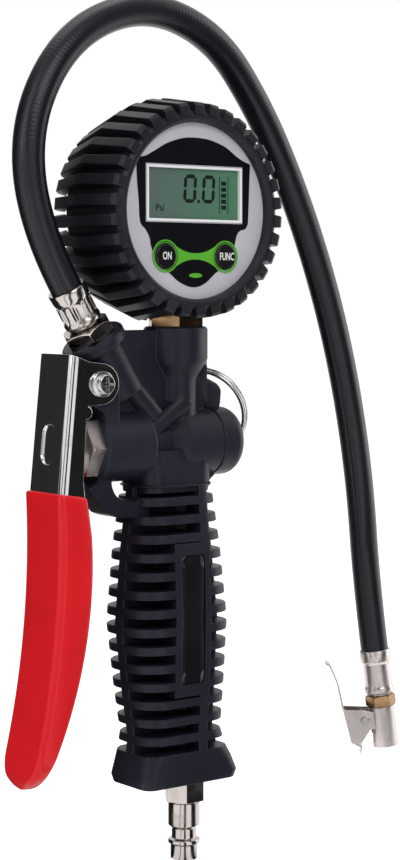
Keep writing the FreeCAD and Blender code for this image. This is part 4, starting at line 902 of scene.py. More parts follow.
@dataclass
class Studio:
    """White room: floor, lamps, world and the camera of the photograph."""

    camera_place: Point = (-0.45149, -0.59578, 0.21272)
    camera_tilt: float = 86.155
    camera_turn: float = -37.62
    lens: float = 84.0
    sensor: float = 36.0
    room_light: float = 0.45
    dark_room: float = 0.03
    up: Point = (0.0, 0.0, 1.0)
    # An edge is the two cosines between which a light or a shade sets in
    ceiling_edge: Spot = (0.4, 0.9)
    ceiling_light: float = 0.6
    behind: Point = (0.61, 0.79, 0.0)
    backdrop_edge: Spot = (-0.15, 0.2)
    dark_side: Point = (-0.61, 0.79, 0.0)
    flag_edge: Spot = (0.55, 0.8)
    strips: tuple[Strip, ...] = (
        Strip((-1.0, 0.02, 0.0), 0.895, 0.925),
        Strip((-0.76, -0.65, 0.0), 0.972, 0.985),
        Strip((-0.06, -1.0, 0.0), 0.935, 0.965))
    floor_side: float = 60.0
    floor_white: float = 0.86
    floor_glow: float = 0.66
    floor_roughness: float = 0.9
    floor_mirrored_dark: float = 0.985
    lamps: tuple[SoftBox, ...] = (
        SoftBox("LeftBox", (-1.05, -0.25, 0.75), (0.5, 0.9), 2.8),
        SoftBox("FrontBox", (-0.25, -1.05, 0.85), (0.7, 0.5), 4.6),
        SoftBox("RightBox", (1.15, -0.30, 0.45), (0.6, 1.0), 3.4),
        SoftBox("TopBox", (0.0, 0.1, 1.3), (0.9, 0.6), 2.8))
    lamp_aim: Point = (0.0, 0.0, 0.15)

    def build(self) -> None:
        """Set up the whole studio."""
        scene = bpy.context.scene
        scene.view_settings.view_transform = "Standard"
        self.build_camera(scene)
        self.build_world(scene)
        self.build_floor()
        self.build_lamps()

    def build_camera(self, scene: bpy.types.Scene) -> None:
        """Place the camera as the photograph's was.

        Args:
            scene: The scene that gets it.
        """
        lens = bpy.data.cameras.new("Camera")
        lens.lens = self.lens
        lens.sensor_width = self.sensor
        camera = Bench.lay_out("Camera", lens)
        camera.location = self.camera_place
        camera.rotation_euler = (math.radians(self.camera_tilt), 0.0, math.radians(self.camera_turn))
        scene.camera = camera

    def build_world(self, scene: bpy.types.Scene) -> None:
        """Make a white backdrop that mirrors see too, with the dark room round the camera.

        Args:
            scene: The scene that gets it.
        """
        world = bpy.data.worlds.new("Room")
        scene.world = world
        world.use_nodes = True
        kit = NodeKit(world.node_tree)
        sky = world.node_tree.nodes["Background"]
        rays = kit.add("ShaderNodeLightPath")
        ways = kit.add("ShaderNodeTexCoord").outputs["Generated"]
        ceiling = kit.remap(self.toward(kit, ways, self.up), *self.ceiling_edge, 0.0, self.ceiling_light)
        mirrored = kit.maths("MAXIMUM", self.reflected(kit, ways), ceiling)
        mirrored = kit.maths("MULTIPLY_ADD", mirrored, 1.0 - self.dark_room, self.dark_room)
        seen = kit.maths("MAXIMUM", rays.outputs["Is Camera Ray"], rays.outputs["Is Transmission Ray"])
        other = kit.maths("MAXIMUM", seen, self.room_light)
        pick = kit.add("ShaderNodeMix", data_type="FLOAT")
        for place, value in ((0, rays.outputs["Is Glossy Ray"]), (2, other), (3, mirrored)):
            kit.put(pick.inputs[place], value)
        kit.feed(sky, Strength=pick.outputs[0])
        sky.inputs["Color"].default_value = (1.0, 1.0, 1.0, 1.0)

    def reflected(self, kit: NodeKit, ways: Socket) -> Socket:
        """Say what mirrors see: a white backdrop, a dark flag beside it and bright strips in the dark.

        Args:
            kit: The tree's kit.
            ways: Directions of length one.

        Returns:
            The brightness from 0 to 1.
        """
        backdrop = kit.remap(self.toward(kit, ways, self.behind), *self.backdrop_edge, 0.0, 1.0)
        flagged = kit.remap(self.toward(kit, ways, self.dark_side), *self.flag_edge, 1.0, 0.0)
        room = kit.maths("MULTIPLY", backdrop, flagged)
        for strip in self.strips:
            lit = kit.remap(self.toward(kit, ways, strip.aim), strip.edge, strip.full, 0.0, 1.0)
            room = kit.maths("MAXIMUM", room, lit)
        return room

    @staticmethod
    def toward(kit: NodeKit, ways: Socket, aim: Point) -> Socket:
        """Compare directions with an aim.

        Args:
            kit: The tree's kit.
            ways: Directions of length one.
            aim: The direction that they are compared with.

        Returns:
            How far they point towards the aim, from -1 to 1.
        """
        dot = kit.add("ShaderNodeVectorMath", operation="DOT_PRODUCT")
        kit.put(dot.inputs[0], ways)
        dot.inputs[1].default_value = Vector(aim).normalized()
        return dot.outputs["Value"]

    def build_floor(self) -> None:
        """Lay a pale floor that keeps the shadow."""
        floor = Bench.start("Floor", "plane", size=self.floor_side)
        Bench.settle(floor)
        material = bpy.data.materials.new("Floor")
        material.use_nodes = True
        kit = NodeKit(material.node_tree)
        shader = material.node_tree.nodes["Principled BSDF"]
        shader.inputs["Roughness"].default_value = self.floor_roughness
        shader.inputs["Specular IOR Level"].default_value = 0.0
        rays = kit.add("ShaderNodeLightPath").outputs
        seen = kit.maths("MAXIMUM", rays["Is Camera Ray"],
                         kit.maths("MAXIMUM", rays["Is Glossy Ray"], rays["Is Transmission Ray"]))
        ways = kit.add("ShaderNodeVectorMath", operation="NORMALIZE")
        kit.put(ways.inputs[0], kit.add("ShaderNodeTexCoord").outputs["Object"])
        lit = kit.maths("MULTIPLY", self.reflected(kit, ways.outputs[0]), self.floor_mirrored_dark)
        dim = kit.maths("SUBTRACT", self.floor_mirrored_dark, lit)
        share = kit.maths("SUBTRACT", 1.0, kit.maths("MULTIPLY", rays["Is Glossy Ray"], dim))
        glow = kit.maths("MULTIPLY", kit.maths("MULTIPLY", seen, share), self.floor_glow)
        white, dark = (*(self.floor_white,) * 3, 1.0), (0.0, 0.0, 0.0, 1.0)
        kit.feed(shader, Base_Color=kit.blend(share, dark, white), Emission_Strength=glow)
        shader.inputs["Emission Color"].default_value = (1.0, 1.0, 1.0, 1.0)
        floor.data.materials.append(material)

    def build_lamps(self) -> None:
        """Hang soft boxes left, right, above and over the camera."""
        for box in self.lamps:
            light = bpy.data.lights.new(box.name, "AREA")
            light.shape = "RECTANGLE"
            light.size, light.size_y = box.size
            light.energy = box.watts
            lamp = Bench.lay_out(box.name, light)
            lamp.location = box.place
            aim = Vector(self.lamp_aim) - Vector(box.place)
            lamp.rotation_euler = aim.to_track_quat("-Z", "Y").to_euler()


@dataclass
class CastParts:
    """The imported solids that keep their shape, their finish and their edges' rounding in millimetres."""

    edges: dict[str, float] = field(default_factory=lambda: {
        "gun_body": 0.35, "end_cap": 0.3, "gauge_case": 0.3, "lever": 0.25, "air_plug": 0.15,
        "hose_nut": 0.2, "chuck_ferrule": 0.15, "chuck_housing": 0.12, "chuck_body": 0.15,
        "gauge_stem": 0.2, "pivot_screw": 0.12, "pivot_nut": 0.15, "chuck_lever": 0.12,
        "button_on": 0.2, "button_func": 0.2})
    satin: tuple[str, ...] = ("chuck_ferrule", "chuck_housing", "chuck_lever")
    weld: float = 2e-6
    sharp: float = 38.0

    def build(self, frame: dict) -> None:
        """Give every node its finish, and bevel those that catch light.
        """
        slots = {row["node"]: row["material_slot"] for row in frame["record"]["subparts"]}
        for name, node in frame["nodes"].items():
            finish = Finishes.SATIN if name in self.satin else Finishes.for_slot(slots[name])
            node.data.materials.clear()
            node.data.materials.append(finish.material())
            if name in self.edges:
                self.soften(node, self.edges[name] * MM)
            LOG.info("%s: packed solid, %s", name, finish.name)

    def soften(self, node: Thing, width: float) -> None:
        """Weld a node's loose triangles and round its edges, live.

        Args:
            node: The node.
            width: The rounding's width, in metres.
        """
        node.modifiers.new("Weld", "WELD").merge_threshold = self.weld
        bevel = node.modifiers.new("Rounding", "BEVEL")
        bevel.width = width
        bevel.segments = 2
        bevel.limit_method = "ANGLE"
        bevel.angle_limit = math.radians(self.sharp)
        bevel.use_clamp_overlap = False
        for face in node.data.polygons:
            face.use_smooth = True
        node.modifiers.new("Normals", "WEIGHTED_NORMAL").keep_sharp = True


@dataclass
class Hose:
    """The rubber hose from its crimped ferrule to the chuck, in metres."""

    radius: float = 5.8 * MM
    length: float = 0.4405
    sides: int = 40
    step: float = 1.4 * MM
    sharp: float = 50.0
    route: tuple[Point, ...] = (
        (-0.05250, 0.0, 0.21529), (-0.06597, 0.0, 0.23754), (-0.0695, 0.0, 0.273), (-0.051, 0.0, 0.305),
        (-0.017, 0.0015, 0.319), (0.0175, 0.004, 0.310), (0.043, 0.009, 0.285), (0.0635, 0.0135, 0.256),
        (0.080, 0.017, 0.226), (0.093, 0.0195, 0.195), (0.103, 0.0215, 0.1625), (0.110, 0.023, 0.1295),
        (0.11711, 0.02731, 0.09407), (0.12010, 0.02500, 0.06330))
    on_hose: tuple[str, ...] = ("chuck_ferrule", "chuck_body", "chuck_housing", "chuck_seal", "depressor",
                                "chuck_rivet", "chuck_lever")

    def build(self, frame: dict) -> None:
        path = self.centreline()
        tube = self.tube(path)
        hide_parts("hose")

    def centreline(self) -> list[Vector]:
        """Bend a smooth spline along the route's control points.

        Returns:
            Points of the spline, a step apart.
        """
        curve = bpy.data.curves.new("HoseLine", "CURVE")
        curve.dimensions = "3D"
        curve.resolution_u = 32
        spline = curve.splines.new("NURBS")
        spline.points.add(len(self.route) - 1)
        for point, place in zip(spline.points, self.route):
            point.co = (*place, 1.0)
        spline.order_u = 3
        spline.use_endpoint_u = True
        line = Bench.lay_out("HoseLine", curve)
        bpy.context.view_layer.update()
        mesh = bpy.data.meshes.new_from_object(line)
        points = [v.co.copy() for v in mesh.vertices]
        bpy.data.objects.remove(line)
        bpy.data.meshes.remove(mesh)
        kept = [points[0]]
        for point in points[1:-1]:
            if (point - kept[-1]).length >= self.step:
                kept.append(point)
        return kept + [points[-1]]

    def tube(self, path: list[Vector]) -> Thing:
        """Skin the centreline with a round tube that carries a UV map.

        Args:
            path: Points of the centreline.

        Returns:
            The tube.
        """
        side = (path[1] - path[0]).normalized().orthogonal().normalized()
        rings, runs, run = [], [], 0.0
        turns = [math.tau * k / self.sides for k in range(self.sides)]
        for i, point in enumerate(path):
            ahead = (path[min(i + 1, len(path) - 1)] - path[max(i - 1, 0)]).normalized()
            side = (side - ahead * side.dot(ahead)).normalized()
            other = ahead.cross(side)
            run += (point - path[i - 1]).length if i else 0.0
            runs.append(run)
            rings.append([point + (side * math.cos(a) + other * math.sin(a)) * self.radius for a in turns])
        made = Bench.skin("Hose", rings)
        layer = made.data.uv_layers.new(name="Along")
        for face in made.data.polygons[:-2]:
            i, k = divmod(face.index, self.sides)
            for loop, (di, dk) in zip(face.loop_indices, ((0, 0), (0, 1), (1, 1), (1, 0))):
                layer.data[loop].uv = ((k + dk) / self.sides, runs[i + di])
        return Bench.dress(made, Body.GUN, Finishes.HOSE, self.sharp)


@dataclass
class GaugeBoot:
    """The rubber boot, a cup round the case with blocks like a tyre's; sizes in millimetres."""

    axis_x: float = -3.8
    axis_z: float = 243.3
    cup: Outline = (
        (24.0, -26.5), (29.2, -26.5), (31.2, -25.4), (36.0, -18.5), (36.8, -10.0), (36.8, 12.6), (36.0, 14.4),
        (34.6, 15.3), (33.3, 15.3), (32.15, 14.2), (32.15, 11.9), (34.7, 11.9), (34.7, -18.4), (31.8, -22.0),
        (24.0, -22.0))
    cup_steps: int = 136
    cup_rounding: float = 0.4
    cup_edges: float = 40.0
    block: Outline = (
        (34.7, 15.5), (37.9, 15.4), (39.2, 14.4), (42.1, -5.0), (36.4, -26.0), (34.8, -27.2), (31.4, -26.2),
        (35.6, -18.0), (35.6, 11.0))
    short_front: Outline = ((34.7, 15.5), (37.9, 15.4), (38.9, 14.4), (39.2, 10.8), (35.6, 10.8))
    short_back: Outline = (
        (35.6, -10.8), (40.5, -10.8), (36.4, -26.0), (34.8, -27.2), (31.4, -26.2), (35.6, -18.0))
    count: int = 34
    first: float = 175.2
    width: float = 4.1
    taper: float = 0.22
    root: float = 36.0
    reach: float = 42.0
    rounding: float = 0.28
    edges: float = 25.0
    sharp: float = 32.0
    lowest: float = 270.0
    stem: float = 5.2
    stem_length: float = 20.0
    stem_sides: int = 48
    clear_of_stem: float = 19.0

    def build(self) -> None:
        """Join the cup and its blocks, the lowest ones cut short beside the brass hexagon."""
        cup = Bench.turned("GaugeBoot", self.cup, self.cup_steps)
        drill = Bench.start("Drill", "cylinder", radius=self.stem, depth=self.stem_length,
                            vertices=self.stem_sides, location=(0.0, -self.root, 0.0),
                            rotation=(math.pi / 2, 0.0, 0.0))
        Bench.carve(cup, drill, "DIFFERENCE")
        Bench.round_edges(cup, self.cup_rounding, self.cup_edges)
        models = [self.make_block(outline) for outline in (self.block, self.short_front, self.short_back)]
        blocks = []
        for i in range(self.count):
            angle = self.first + i * 360.0 / self.count
            low = abs((angle - self.lowest + 180.0) % 360.0 - 180.0) < self.clear_of_stem
            chosen = models[1:] if low else models[:1]
            blocks += [Bench.copy(model, "Block", spin(angle, "Z")) for model in chosen]
        for model in models:
            bpy.data.objects.remove(model)
        boot = Bench.install(Bench.join([cup, *blocks], "GaugeBoot"), upright(self.axis_x, 0.0, self.axis_z))
        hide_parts("gauge_boot")
        Bench.dress(boot, Body.GUN, Finishes.BOOT, self.sharp)
        boot.modifiers.new("Normals", "WEIGHTED_NORMAL").keep_sharp = True

    def make_block(self, outline: Outline) -> Thing:
        """Make one block of the boot.

        Args:
            outline: Radius and height of its corners.

        Returns:
            The block, standing on +X of the cup's axis.
        """
        block = Bench.flat("Block", [outline])
        Bench.modify(block, "SOLIDIFY", thickness=self.width, offset=0.0)
        for corner in block.data.vertices:
            rise = (corner.co.x - self.root) / (self.reach - self.root)
            corner.co.z *= 1.0 + self.taper * (0.5 - rise)
        Bench.outward(block, BENCH_DOUBLES)
        Bench.round_edges(block, self.rounding, self.edges)
        return Bench.settle(block, spin(90.0, "X"))


@dataclass
class CrimpedFerrule:
    """The hose's ferrule at the gun, with the ridges that a crimping tool leaves; in millimetres."""

    foot: Point = (-41.78, 0.0, 197.59)
    tilt: float = 31.2
    outline: Outline = (
        (4.6, 5.05), (5.6, 5.05), (6.1, 5.5), (6.9, 6.6), (7.05, 7.4), (7.0, 8.2), (6.35, 9.0), (6.2, 9.8),
        (6.2, 10.8), (6.2, 11.9), (6.2, 13.0), (6.2, 14.1), (6.3, 15.0), (6.6, 15.7), (6.95, 16.3),
        (7.05, 17.4), (7.15, 19.0), (7.15, 20.3), (6.9, 20.65), (5.86, 20.65), (5.86, 12.8), (4.6, 12.8))
    steps: int = 128
    skin: float = 6.0
    low: float = 8.6
    high: float = 16.0
    ridges: int = 8
    ridge: float = 0.75
    fade: float = 3.0
    pinch: int = 3
    sharp: float = 50.0

    def build(self) -> None:
        """Turn the ferrule and press its ridges out."""
        ferrule = Bench.turned("HoseFerrule", self.outline, self.steps)
        for corner in ferrule.data.vertices:
            radius = math.hypot(corner.co.x, corner.co.y)
            if radius < self.skin or not self.low < corner.co.z < self.high:
                continue
            middle = 1.0 - abs(2.0 * (corner.co.z - self.low) / (self.high - self.low) - 1.0)
            turn = math.atan2(corner.co.y, corner.co.x)
            ridge = max(0.0, math.cos(self.ridges * turn)) ** self.pinch
            stretch = (radius + self.ridge * min(1.0, self.fade * middle) * ridge) / radius
            corner.co.x *= stretch
            corner.co.y *= stretch
        Bench.install(ferrule, shift(*self.foot) @ spin(-self.tilt, "Y"))
        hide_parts("hose_ferrule")
        Bench.dress(ferrule, Body.GUN, Finishes.NICKEL, self.sharp)


@dataclass(frozen=True)
class Arc:
    """A shallow arc in the lever's side view, x over z, bulging to the right; in millimetres."""

    low: Spot
    high: Spot
    radius: float

    def at(self, height: float) -> float:
        """Follow the arc.

        Args:
            height: The z of a point on it.

        Returns:
            The point's x.
        """
        low, high = Vector(self.low), Vector(self.high)
        chord = high - low
        rise = math.sqrt(self.radius ** 2 - chord.length_squared / 4)
        centre = (low + high) / 2 - Vector((chord.y, -chord.x)).normalized() * rise
        return centre.x + math.sqrt(self.radius ** 2 - (height - centre.y) ** 2)


@dataclass
class LeverSleeve:
    """The dipped vinyl sleeve, a soft skin round the lever's channel; sizes in millimetres."""

    back: Arc = Arc((-72.5, 49.5), (-63.35, 142.0), 319.0)
    rim: Arc = Arc((-66.7, 45.3), (-49.3, 128.0), 157.8)
    foot: float = 37.4
    top: float = 142.9
    half: float = 12.15
    skin: float = 3.0
    fold: float = 2.7
    inner_fold: float = 0.8
    most: float = 0.9
    rim_bend: float = 128.0
    rim_slope: float = 0.135
    foot_bend: float = 43.0
    foot_slope: float = 0.365
    foot_round: float = 2.8
    foot_turns: tuple[int, ...] = (86, 80, 72, 63, 54, 45, 36, 27, 18, 9)
    rows: int = 26
    top_band: float = 0.9
    # How far below the top each of the last loops lies, and how far it is drawn in
    top_insets: Outline = ((0.25, 0.3), (0.0, 0.95))
    # Below fill_end the channel is filled nearly to its rim, over the lip of the lever
    fill_end: float = 49.0
    fill_slope: float = 2.0
    lip_step: float = 0.4
    slant: float = 0.16
    slant_start: float = 120.0
    bend_steps: int = 6
    sharp: float = 60.0

    def build(self) -> None:
        """Loft the channel from its round foot to its upper edge."""
        start = self.foot + self.half
        rise = self.top - self.top_band - start
        heights = [self.foot + self.half * (1.0 - math.sin(math.radians(turn))) for turn in self.foot_turns]
        heights += [start + rise * i / self.rows for i in range(self.rows + 1)]
        loops = [self.section(height, 0.0) for height in heights]
        loops += [self.section(self.top - below, inset) for below, inset in self.top_insets]
        sleeve = Bench.install(Bench.skin("LeverSleeve", loops))
        Bench.outward(sleeve)
        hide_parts("lever_sleeve")
        Bench.dress(sleeve, Body.LEVER, Finishes.SLEEVE, self.sharp)

    def section(self, height: float, inset: float) -> list[Point]:
        """Return one loop of the channel.

        Args:
            height: Where the loop meets the lever's back.
            inset: How far its skin is drawn in, for the rounded upper edge.

        Returns:
            The loop's corners.
        """
        low = self.foot + self.half - height
        half = math.sqrt(self.half ** 2 - low ** 2) if low > 0.0 else self.half - inset
        back = self.back.at(height) + inset
        rim = self.rim.at(min(max(height, self.rim.low[1]), self.rim_bend)) - inset
        rim -= self.rim_slope * max(0.0, height - self.rim_bend)
        rim -= self.foot_slope * max(0.0, self.rim.low[1] - height)
        if height < self.foot_bend:
            back += self.foot_round * ((self.foot_bend - height) / (self.foot_bend - self.foot)) ** 2
        skin = min(self.skin - 2.0 * inset, half * self.most)
        filled = min(max((self.fill_end - height) / self.fill_slope, 0.0), 1.0)
        floor = skin + (rim - back - self.lip_step - skin) * filled
        lip = skin / 2
        fold = min(self.fold, half * self.most, (rim - back) * 0.5)
        inner = min(self.inner_fold, half - skin)
        loop = self.bend(back + fold, fold - half, fold, 270.0, 180.0)
        loop += self.bend(back + fold, half - fold, fold, 180.0, 90.0)
        loop += self.bend(rim - lip, half - lip, lip, 90.0, -90.0)
        loop += self.bend(back + floor + inner, half - skin - inner, inner, 90.0, 180.0)
        loop += self.bend(back + floor + inner, skin + inner - half, inner, 180.0, 270.0)
        loop += self.bend(rim - lip, lip - half, lip, 90.0, -90.0)
        lean = self.slant * max(0.0, height - self.slant_start) / (self.top - self.slant_start)
        return [(x, y, height - lean * (x - back)) for x, y in loop]

    def bend(self, x: float, y: float, radius: float, start: float, stop: float) -> list[Spot]:
        """Return points of an arc.

        Args:
            x: Centre.
            y: Centre.
            radius: Its radius.
            start: First angle from +X, in degrees.
            stop: Last angle, in degrees.

        Returns:
            The points in order.
        """
        shares = [i / self.bend_steps for i in range(self.bend_steps + 1)]
        turns = [math.radians(start + (stop - start) * share) for share in shares]
        return [(x + radius * math.cos(a), y + radius * math.sin(a)) for a in turns]


@dataclass
class ValveNut:
    """The hexagon that closes the valve chamber, a corner towards the front; sizes in millimetres."""

    left: float = -49.0
    height: float = 158.0
    corner: float = 11.547
    outline: Outline = (
        (2.05, 0.0), (9.5, 0.0), (11.6, 1.15), (11.6, 5.95), (7.8, 5.95), (7.8, 15.4), (2.05, 15.4))
    steps: int = 96
    tool_depth: float = 60.0
    rounding: float = 0.22
    edges: float = 35.0
    sharp: float = 30.0

    def build(self) -> None:
        """Turn the nut and cut its six sides."""
        nut = Bench.turned("ValveNut", self.outline, self.steps)
        sides = Bench.start("Sides", "cylinder", vertices=6, radius=self.corner, depth=self.tool_depth)
        Bench.carve(nut, sides, "INTERSECT")
        Bench.round_edges(nut, self.rounding, self.edges)
        Bench.install(nut, shift(self.left, 0.0, self.height) @ spin(90.0, "Y"))
        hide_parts("valve_nut")
        Bench.dress(nut, Body.GUN, Finishes.SATIN, self.sharp)


@dataclass
class LabelPlate:
    """The glossy plate in the grip's pad, bare, its face falling away at the rim; in millimetres."""

    clipped: float = 1.7
    rise: float = 0.62
    narrower: float = 0.86
    upward: float = 0.9
    rounding: float = 0.12
    edges: float = 8.0
    sharp: float = 12.0

    def build(self) -> None:
        """Lay the plate where its solid is."""
        low, high = node_box("label_plate")
        half, tall, cut = (high.x - low.x) / 2, (high.z - low.z) / 2, self.clipped
        outline = [(-half, -tall + cut), (-half + cut, -tall), (half - cut, -tall), (half, -tall + cut),
                   (half, tall - cut), (half - cut, tall), (-half + cut, tall), (-half, tall - cut)]
        plate = Bench.slab("LabelPlate", [outline], high.y - low.y - self.rise)
        Bench.edit(plate, lambda face: face.normal.z > self.upward)
        bpy.ops.mesh.extrude_region_move(TRANSFORM_OT_translate={"value": (0.0, 0.0, self.rise)})
        bpy.ops.transform.resize(value=(self.narrower, self.narrower, 1.0), center_override=(0.0, 0.0, 0.0))
        Bench.done()
        Bench.round_edges(plate, self.rounding, self.edges)
        Bench.install(plate, upright((low.x + high.x) / 2, high.y, (low.z + high.z) / 2))
        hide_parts("label_plate")
        Bench.dress(plate, Body.GUN, Finishes.LABEL, self.sharp)


@dataclass
class EyeBlock:
    """The thick shoulder that carries the ring's eye beside the neck; sizes in millimetres."""

    turn: float = -37.6
    outline: Outline = (
        (2.0, 168.5), (12.2, 168.5), (13.6, 171.5), (14.0, 177.2), (12.6, 179.2), (6.5, 182.6), (2.0, 184.0))
    rear: float = 15.0
    depth: float = 9.0
    rounding: float = 0.9
    rounding_segments: int = 3
    edges: float = 20.0
    sharp: float = 40.0

    def build(self) -> None:
        """Raise the block from its outline beside the neck."""
        block = Bench.slab("EyeBlock", [self.outline], self.depth)
        Bench.round_edges(block, self.rounding, self.edges, self.rounding_segments)
        Bench.install(block, spin(self.turn, "Z") @ upright(0.0, self.rear, 0.0))
        Bench.dress(block, Body.GUN, Finishes.BODY, self.sharp)


@dataclass
class ScreenWindow:
    """The screen's glass in its narrow white frame; sizes in millimetres."""

    rim: float = 0.95
    tuck: float = 0.1
    rounding: float = 0.12
    edges: float = 30.0
    sharp: float = 12.0

    def build(self) -> None:
        """Lay the frame and the glass where their solids are."""
        low, high = node_box("lcd_frame")
        half, tall = (high.x - low.x) / 2, (high.z - low.z) / 2
        outer, inner, glass = (rectangle(step - half, step - tall, half - step, tall - step)
                               for step in (0.0, self.rim, self.rim - self.tuck))
        self.lay("ScreenFrame", "lcd_frame", [outer, inner], Finishes.LCD_FRAME)
        self.lay("ScreenGlass", "lcd_panel", [glass], Finishes.LCD)

    def lay(self, name: str, node: str, outlines: list[Outline], finish: Finish) -> None:
        """Make one flat piece in the place of a node.

        Args:
            name: The piece's name.
            node: The node that it replaces.
            outlines: Its outline and its hole.
            finish: What it is dressed with.
        """
        low, high = node_box(node)
        piece = Bench.slab(name, outlines, high.y - low.y)
        Bench.round_edges(piece, self.rounding, self.edges)
        Bench.install(piece, upright((low.x + high.x) / 2, high.y, (low.z + high.z) / 2))
        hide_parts(node)
        Bench.dress(piece, Body.GUN, finish, self.sharp)


@dataclass
class DialFace:
    """Everything printed or shown on the gauge's face; sizes in millimetres."""

    centre_x: float = -3.6
    centre_z: float = 243.3
    plane_y: float = -11.8
    print_height: float = 0.10
    shield: Outline = (
        (-26.6, 18.6), (-22.6, 19.2), (-19.6, 20.6), (-11.5, 24.6), (-1.1, 26.6), (12.4, 24.4), (20.9, 19.6),
        (25.6, 17.8), (25.2, 10.0), (25.0, 4.0), (24.6, -4.2), (23.4, -6.0), (20.9, -6.8), (19.6, -8.0),
        (18.8, -10.2), (17.4, -15.0), (13.6, -19.4), (8.7, -23.0), (4.5, -26.2), (-0.2, -27.7), (-7.0, -26.0),
        (-11.6, -22.8), (-16.4, -19.0), (-20.0, -13.2), (-20.7, -10.1), (-22.4, -7.2), (-24.6, -5.0),
        (-25.1, -3.0), (-25.5, 3.3), (-26.2, 10.0))
    shield_corners: tuple[int, ...] = (0, 7, 10)
    window: tuple[float, float, float, float] = (-22.4, -4.3, 22.0, 16.7)
    lamp_z: float = -23.4
    lamp_size: Spot = (3.0, 0.85)
    lamp_sides: int = 40
    band: Outline = (
        (-9.6, -12.5), (-4.9, -14.6), (0.0, -15.3), (4.9, -14.6), (9.6, -12.5), (8.1, -16.5), (9.6, -20.5),
        (4.9, -18.3), (0.0, -17.6), (-4.9, -18.3), (-9.6, -20.5), (-8.1, -16.5))
    band_corners: tuple[int, ...] = (0, 4, 6, 10)
    button_x: float = 13.7
    button_z: float = -16.5
    button_proud: float = 1.3
    # Outer and inner radius of each line round a button
    rings: Outline = ((5.95, 5.45), (5.15, 4.85))
    ring_sides: int = 72
    ring_height: float = 0.12
    letter_size: float = 3.9
    letter_bold: float = 0.07
    letter_narrow: float = 0.66
    letter_height: float = 0.04
    lcd_plane: float = 1.2
    digit_height: float = 10.3
    digit_width: float = 5.9
    digit_stroke: float = 1.4
    digit_lefts: Spot = (-4.9, 3.6)
    digit_foot: float = 3.0
    digit_gap: float = 0.12
    slant: float = 0.06
    point: tuple[float, float, float, float] = (1.9, 3.0, 3.0, 4.2)
    bars: int = 5
    bar_sides: Spot = (12.9, 15.3)
    bar_foot: float = 0.9
    bar_step: float = 2.2
    bar_height: float = 1.5
    # Where each brace stands, and which way its lips point
    brace_sides: tuple[tuple[float, int], ...] = ((11.9, 1), (16.3, -1))
    brace_foot: float = -0.4
    brace_top: float = 12.8
    brace_lip: float = 0.8
    brace_line: float = 0.3
    unit_size: float = 3.5
    unit_bold: float = 0.03
    unit_place: Spot = (-15.2, 0.9)
    segment_height: float = 0.05

    def build(self) -> None:
        """Print the dial, fill the display and letter the buttons."""
        self.build_shield()
        self.build_buttons()
        self.build_display()

    def raise_print(self, thing: Thing, spot: Point, finish: Finish, height: float,
                    body: Body = Body.GUN) -> None:
        """Give a flat piece its thickness and lay it on the dial.

        Args:
            thing: The flat piece.
            spot: Across and up from the dial's middle, and how far behind its front.
            finish: Its material.
            height: How far it stands proud.
            body: What it rides on.
        """
        Bench.outward(thing, PRINT_DOUBLES)
        if sum(face.normal.z * face.area for face in thing.data.polygons) < 0:
            Bench.edit(thing, lambda face: True)
            bpy.ops.mesh.flip_normals()
            Bench.done()
        Bench.modify(thing, "SOLIDIFY", thickness=height, offset=1.0)
        x, z, back = spot
        Bench.install(thing, upright(self.centre_x + x, self.plane_y + back, self.centre_z + z))
        Bench.dress(thing, body, finish)

    def build_shield(self) -> None:
        """Print the black shield and the green marks on it."""
        height = self.print_height
        shield = Bench.flat("DialShield", [rectangle(*self.window)], [self.shield], self.shield_corners)
        self.raise_print(shield, (0.0, 0.0, 0.0), Finishes.INK, height)
        lamp = Bench.start("DialLamp", "circle", radius=1.0, vertices=self.lamp_sides, fill_type="NGON")
        lamp.scale = (*self.lamp_size, 1.0)
        Bench.settle(lamp)
        self.raise_print(lamp, (0.0, self.lamp_z, -height), Finishes.GREEN, height)
        band = Bench.flat("DialBand", [], [self.band], self.band_corners)
        self.raise_print(band, (0.0, 0.0, -height), Finishes.GREEN, height)

    def build_buttons(self) -> None:
        """Lay a green ring of two lines round each button, and its word on it."""
        lines = []
        for outer, inner in self.rings:
            line = Bench.start("Line", "circle", radius=outer, vertices=self.ring_sides, fill_type="NGON")
            Bench.edit(line, lambda face: True)
            bpy.ops.mesh.inset(thickness=outer - inner)
            bpy.ops.mesh.delete(type="FACE")
            Bench.done()
            lines.append(line)
        model = Bench.join(lines, "RingModel")
        for name, side, body, word in (("On", -1, Body.ON_BUTTON, "ON"),
                                       ("Func", 1, Body.FUNC_BUTTON, "FUNC")):
            ring = Bench.copy(model, name + "Ring")
            x, z = side * self.button_x, self.button_z
            self.raise_print(ring, (x, z, -2 * self.print_height), Finishes.GREEN, self.ring_height)
            letters = Bench.lettering(name + "Word", word, self.letter_size, self.letter_bold)
            letters.scale = (self.letter_narrow, 1.0, 1.0)
            Bench.settle(letters)
            self.raise_print(letters, (x, z, -self.button_proud), Finishes.LETTERS, self.letter_height, body)
        bpy.data.objects.remove(model)

    def segment(self, start: Spot, stop: Spot) -> Outline:
        """Return the six corners of one display segment.

        Args:
            start: One end of its middle line.
            stop: The other end.

        Returns:
            The outline, leaning as the display's digits do.
        """
        a, b = Vector(start), Vector(stop)
        way = (b - a).normalized()
        side = Vector((-way.y, way.x)) * (self.digit_stroke / 2)
        a, b = a + way * self.digit_gap, b - way * self.digit_gap
        slope = way * (self.digit_stroke / 2)
        outline = [a, a + slope + side, b - slope + side, b, b - slope - side, a + slope - side]
        return [(p.x + p.y * self.slant, p.y) for p in outline]

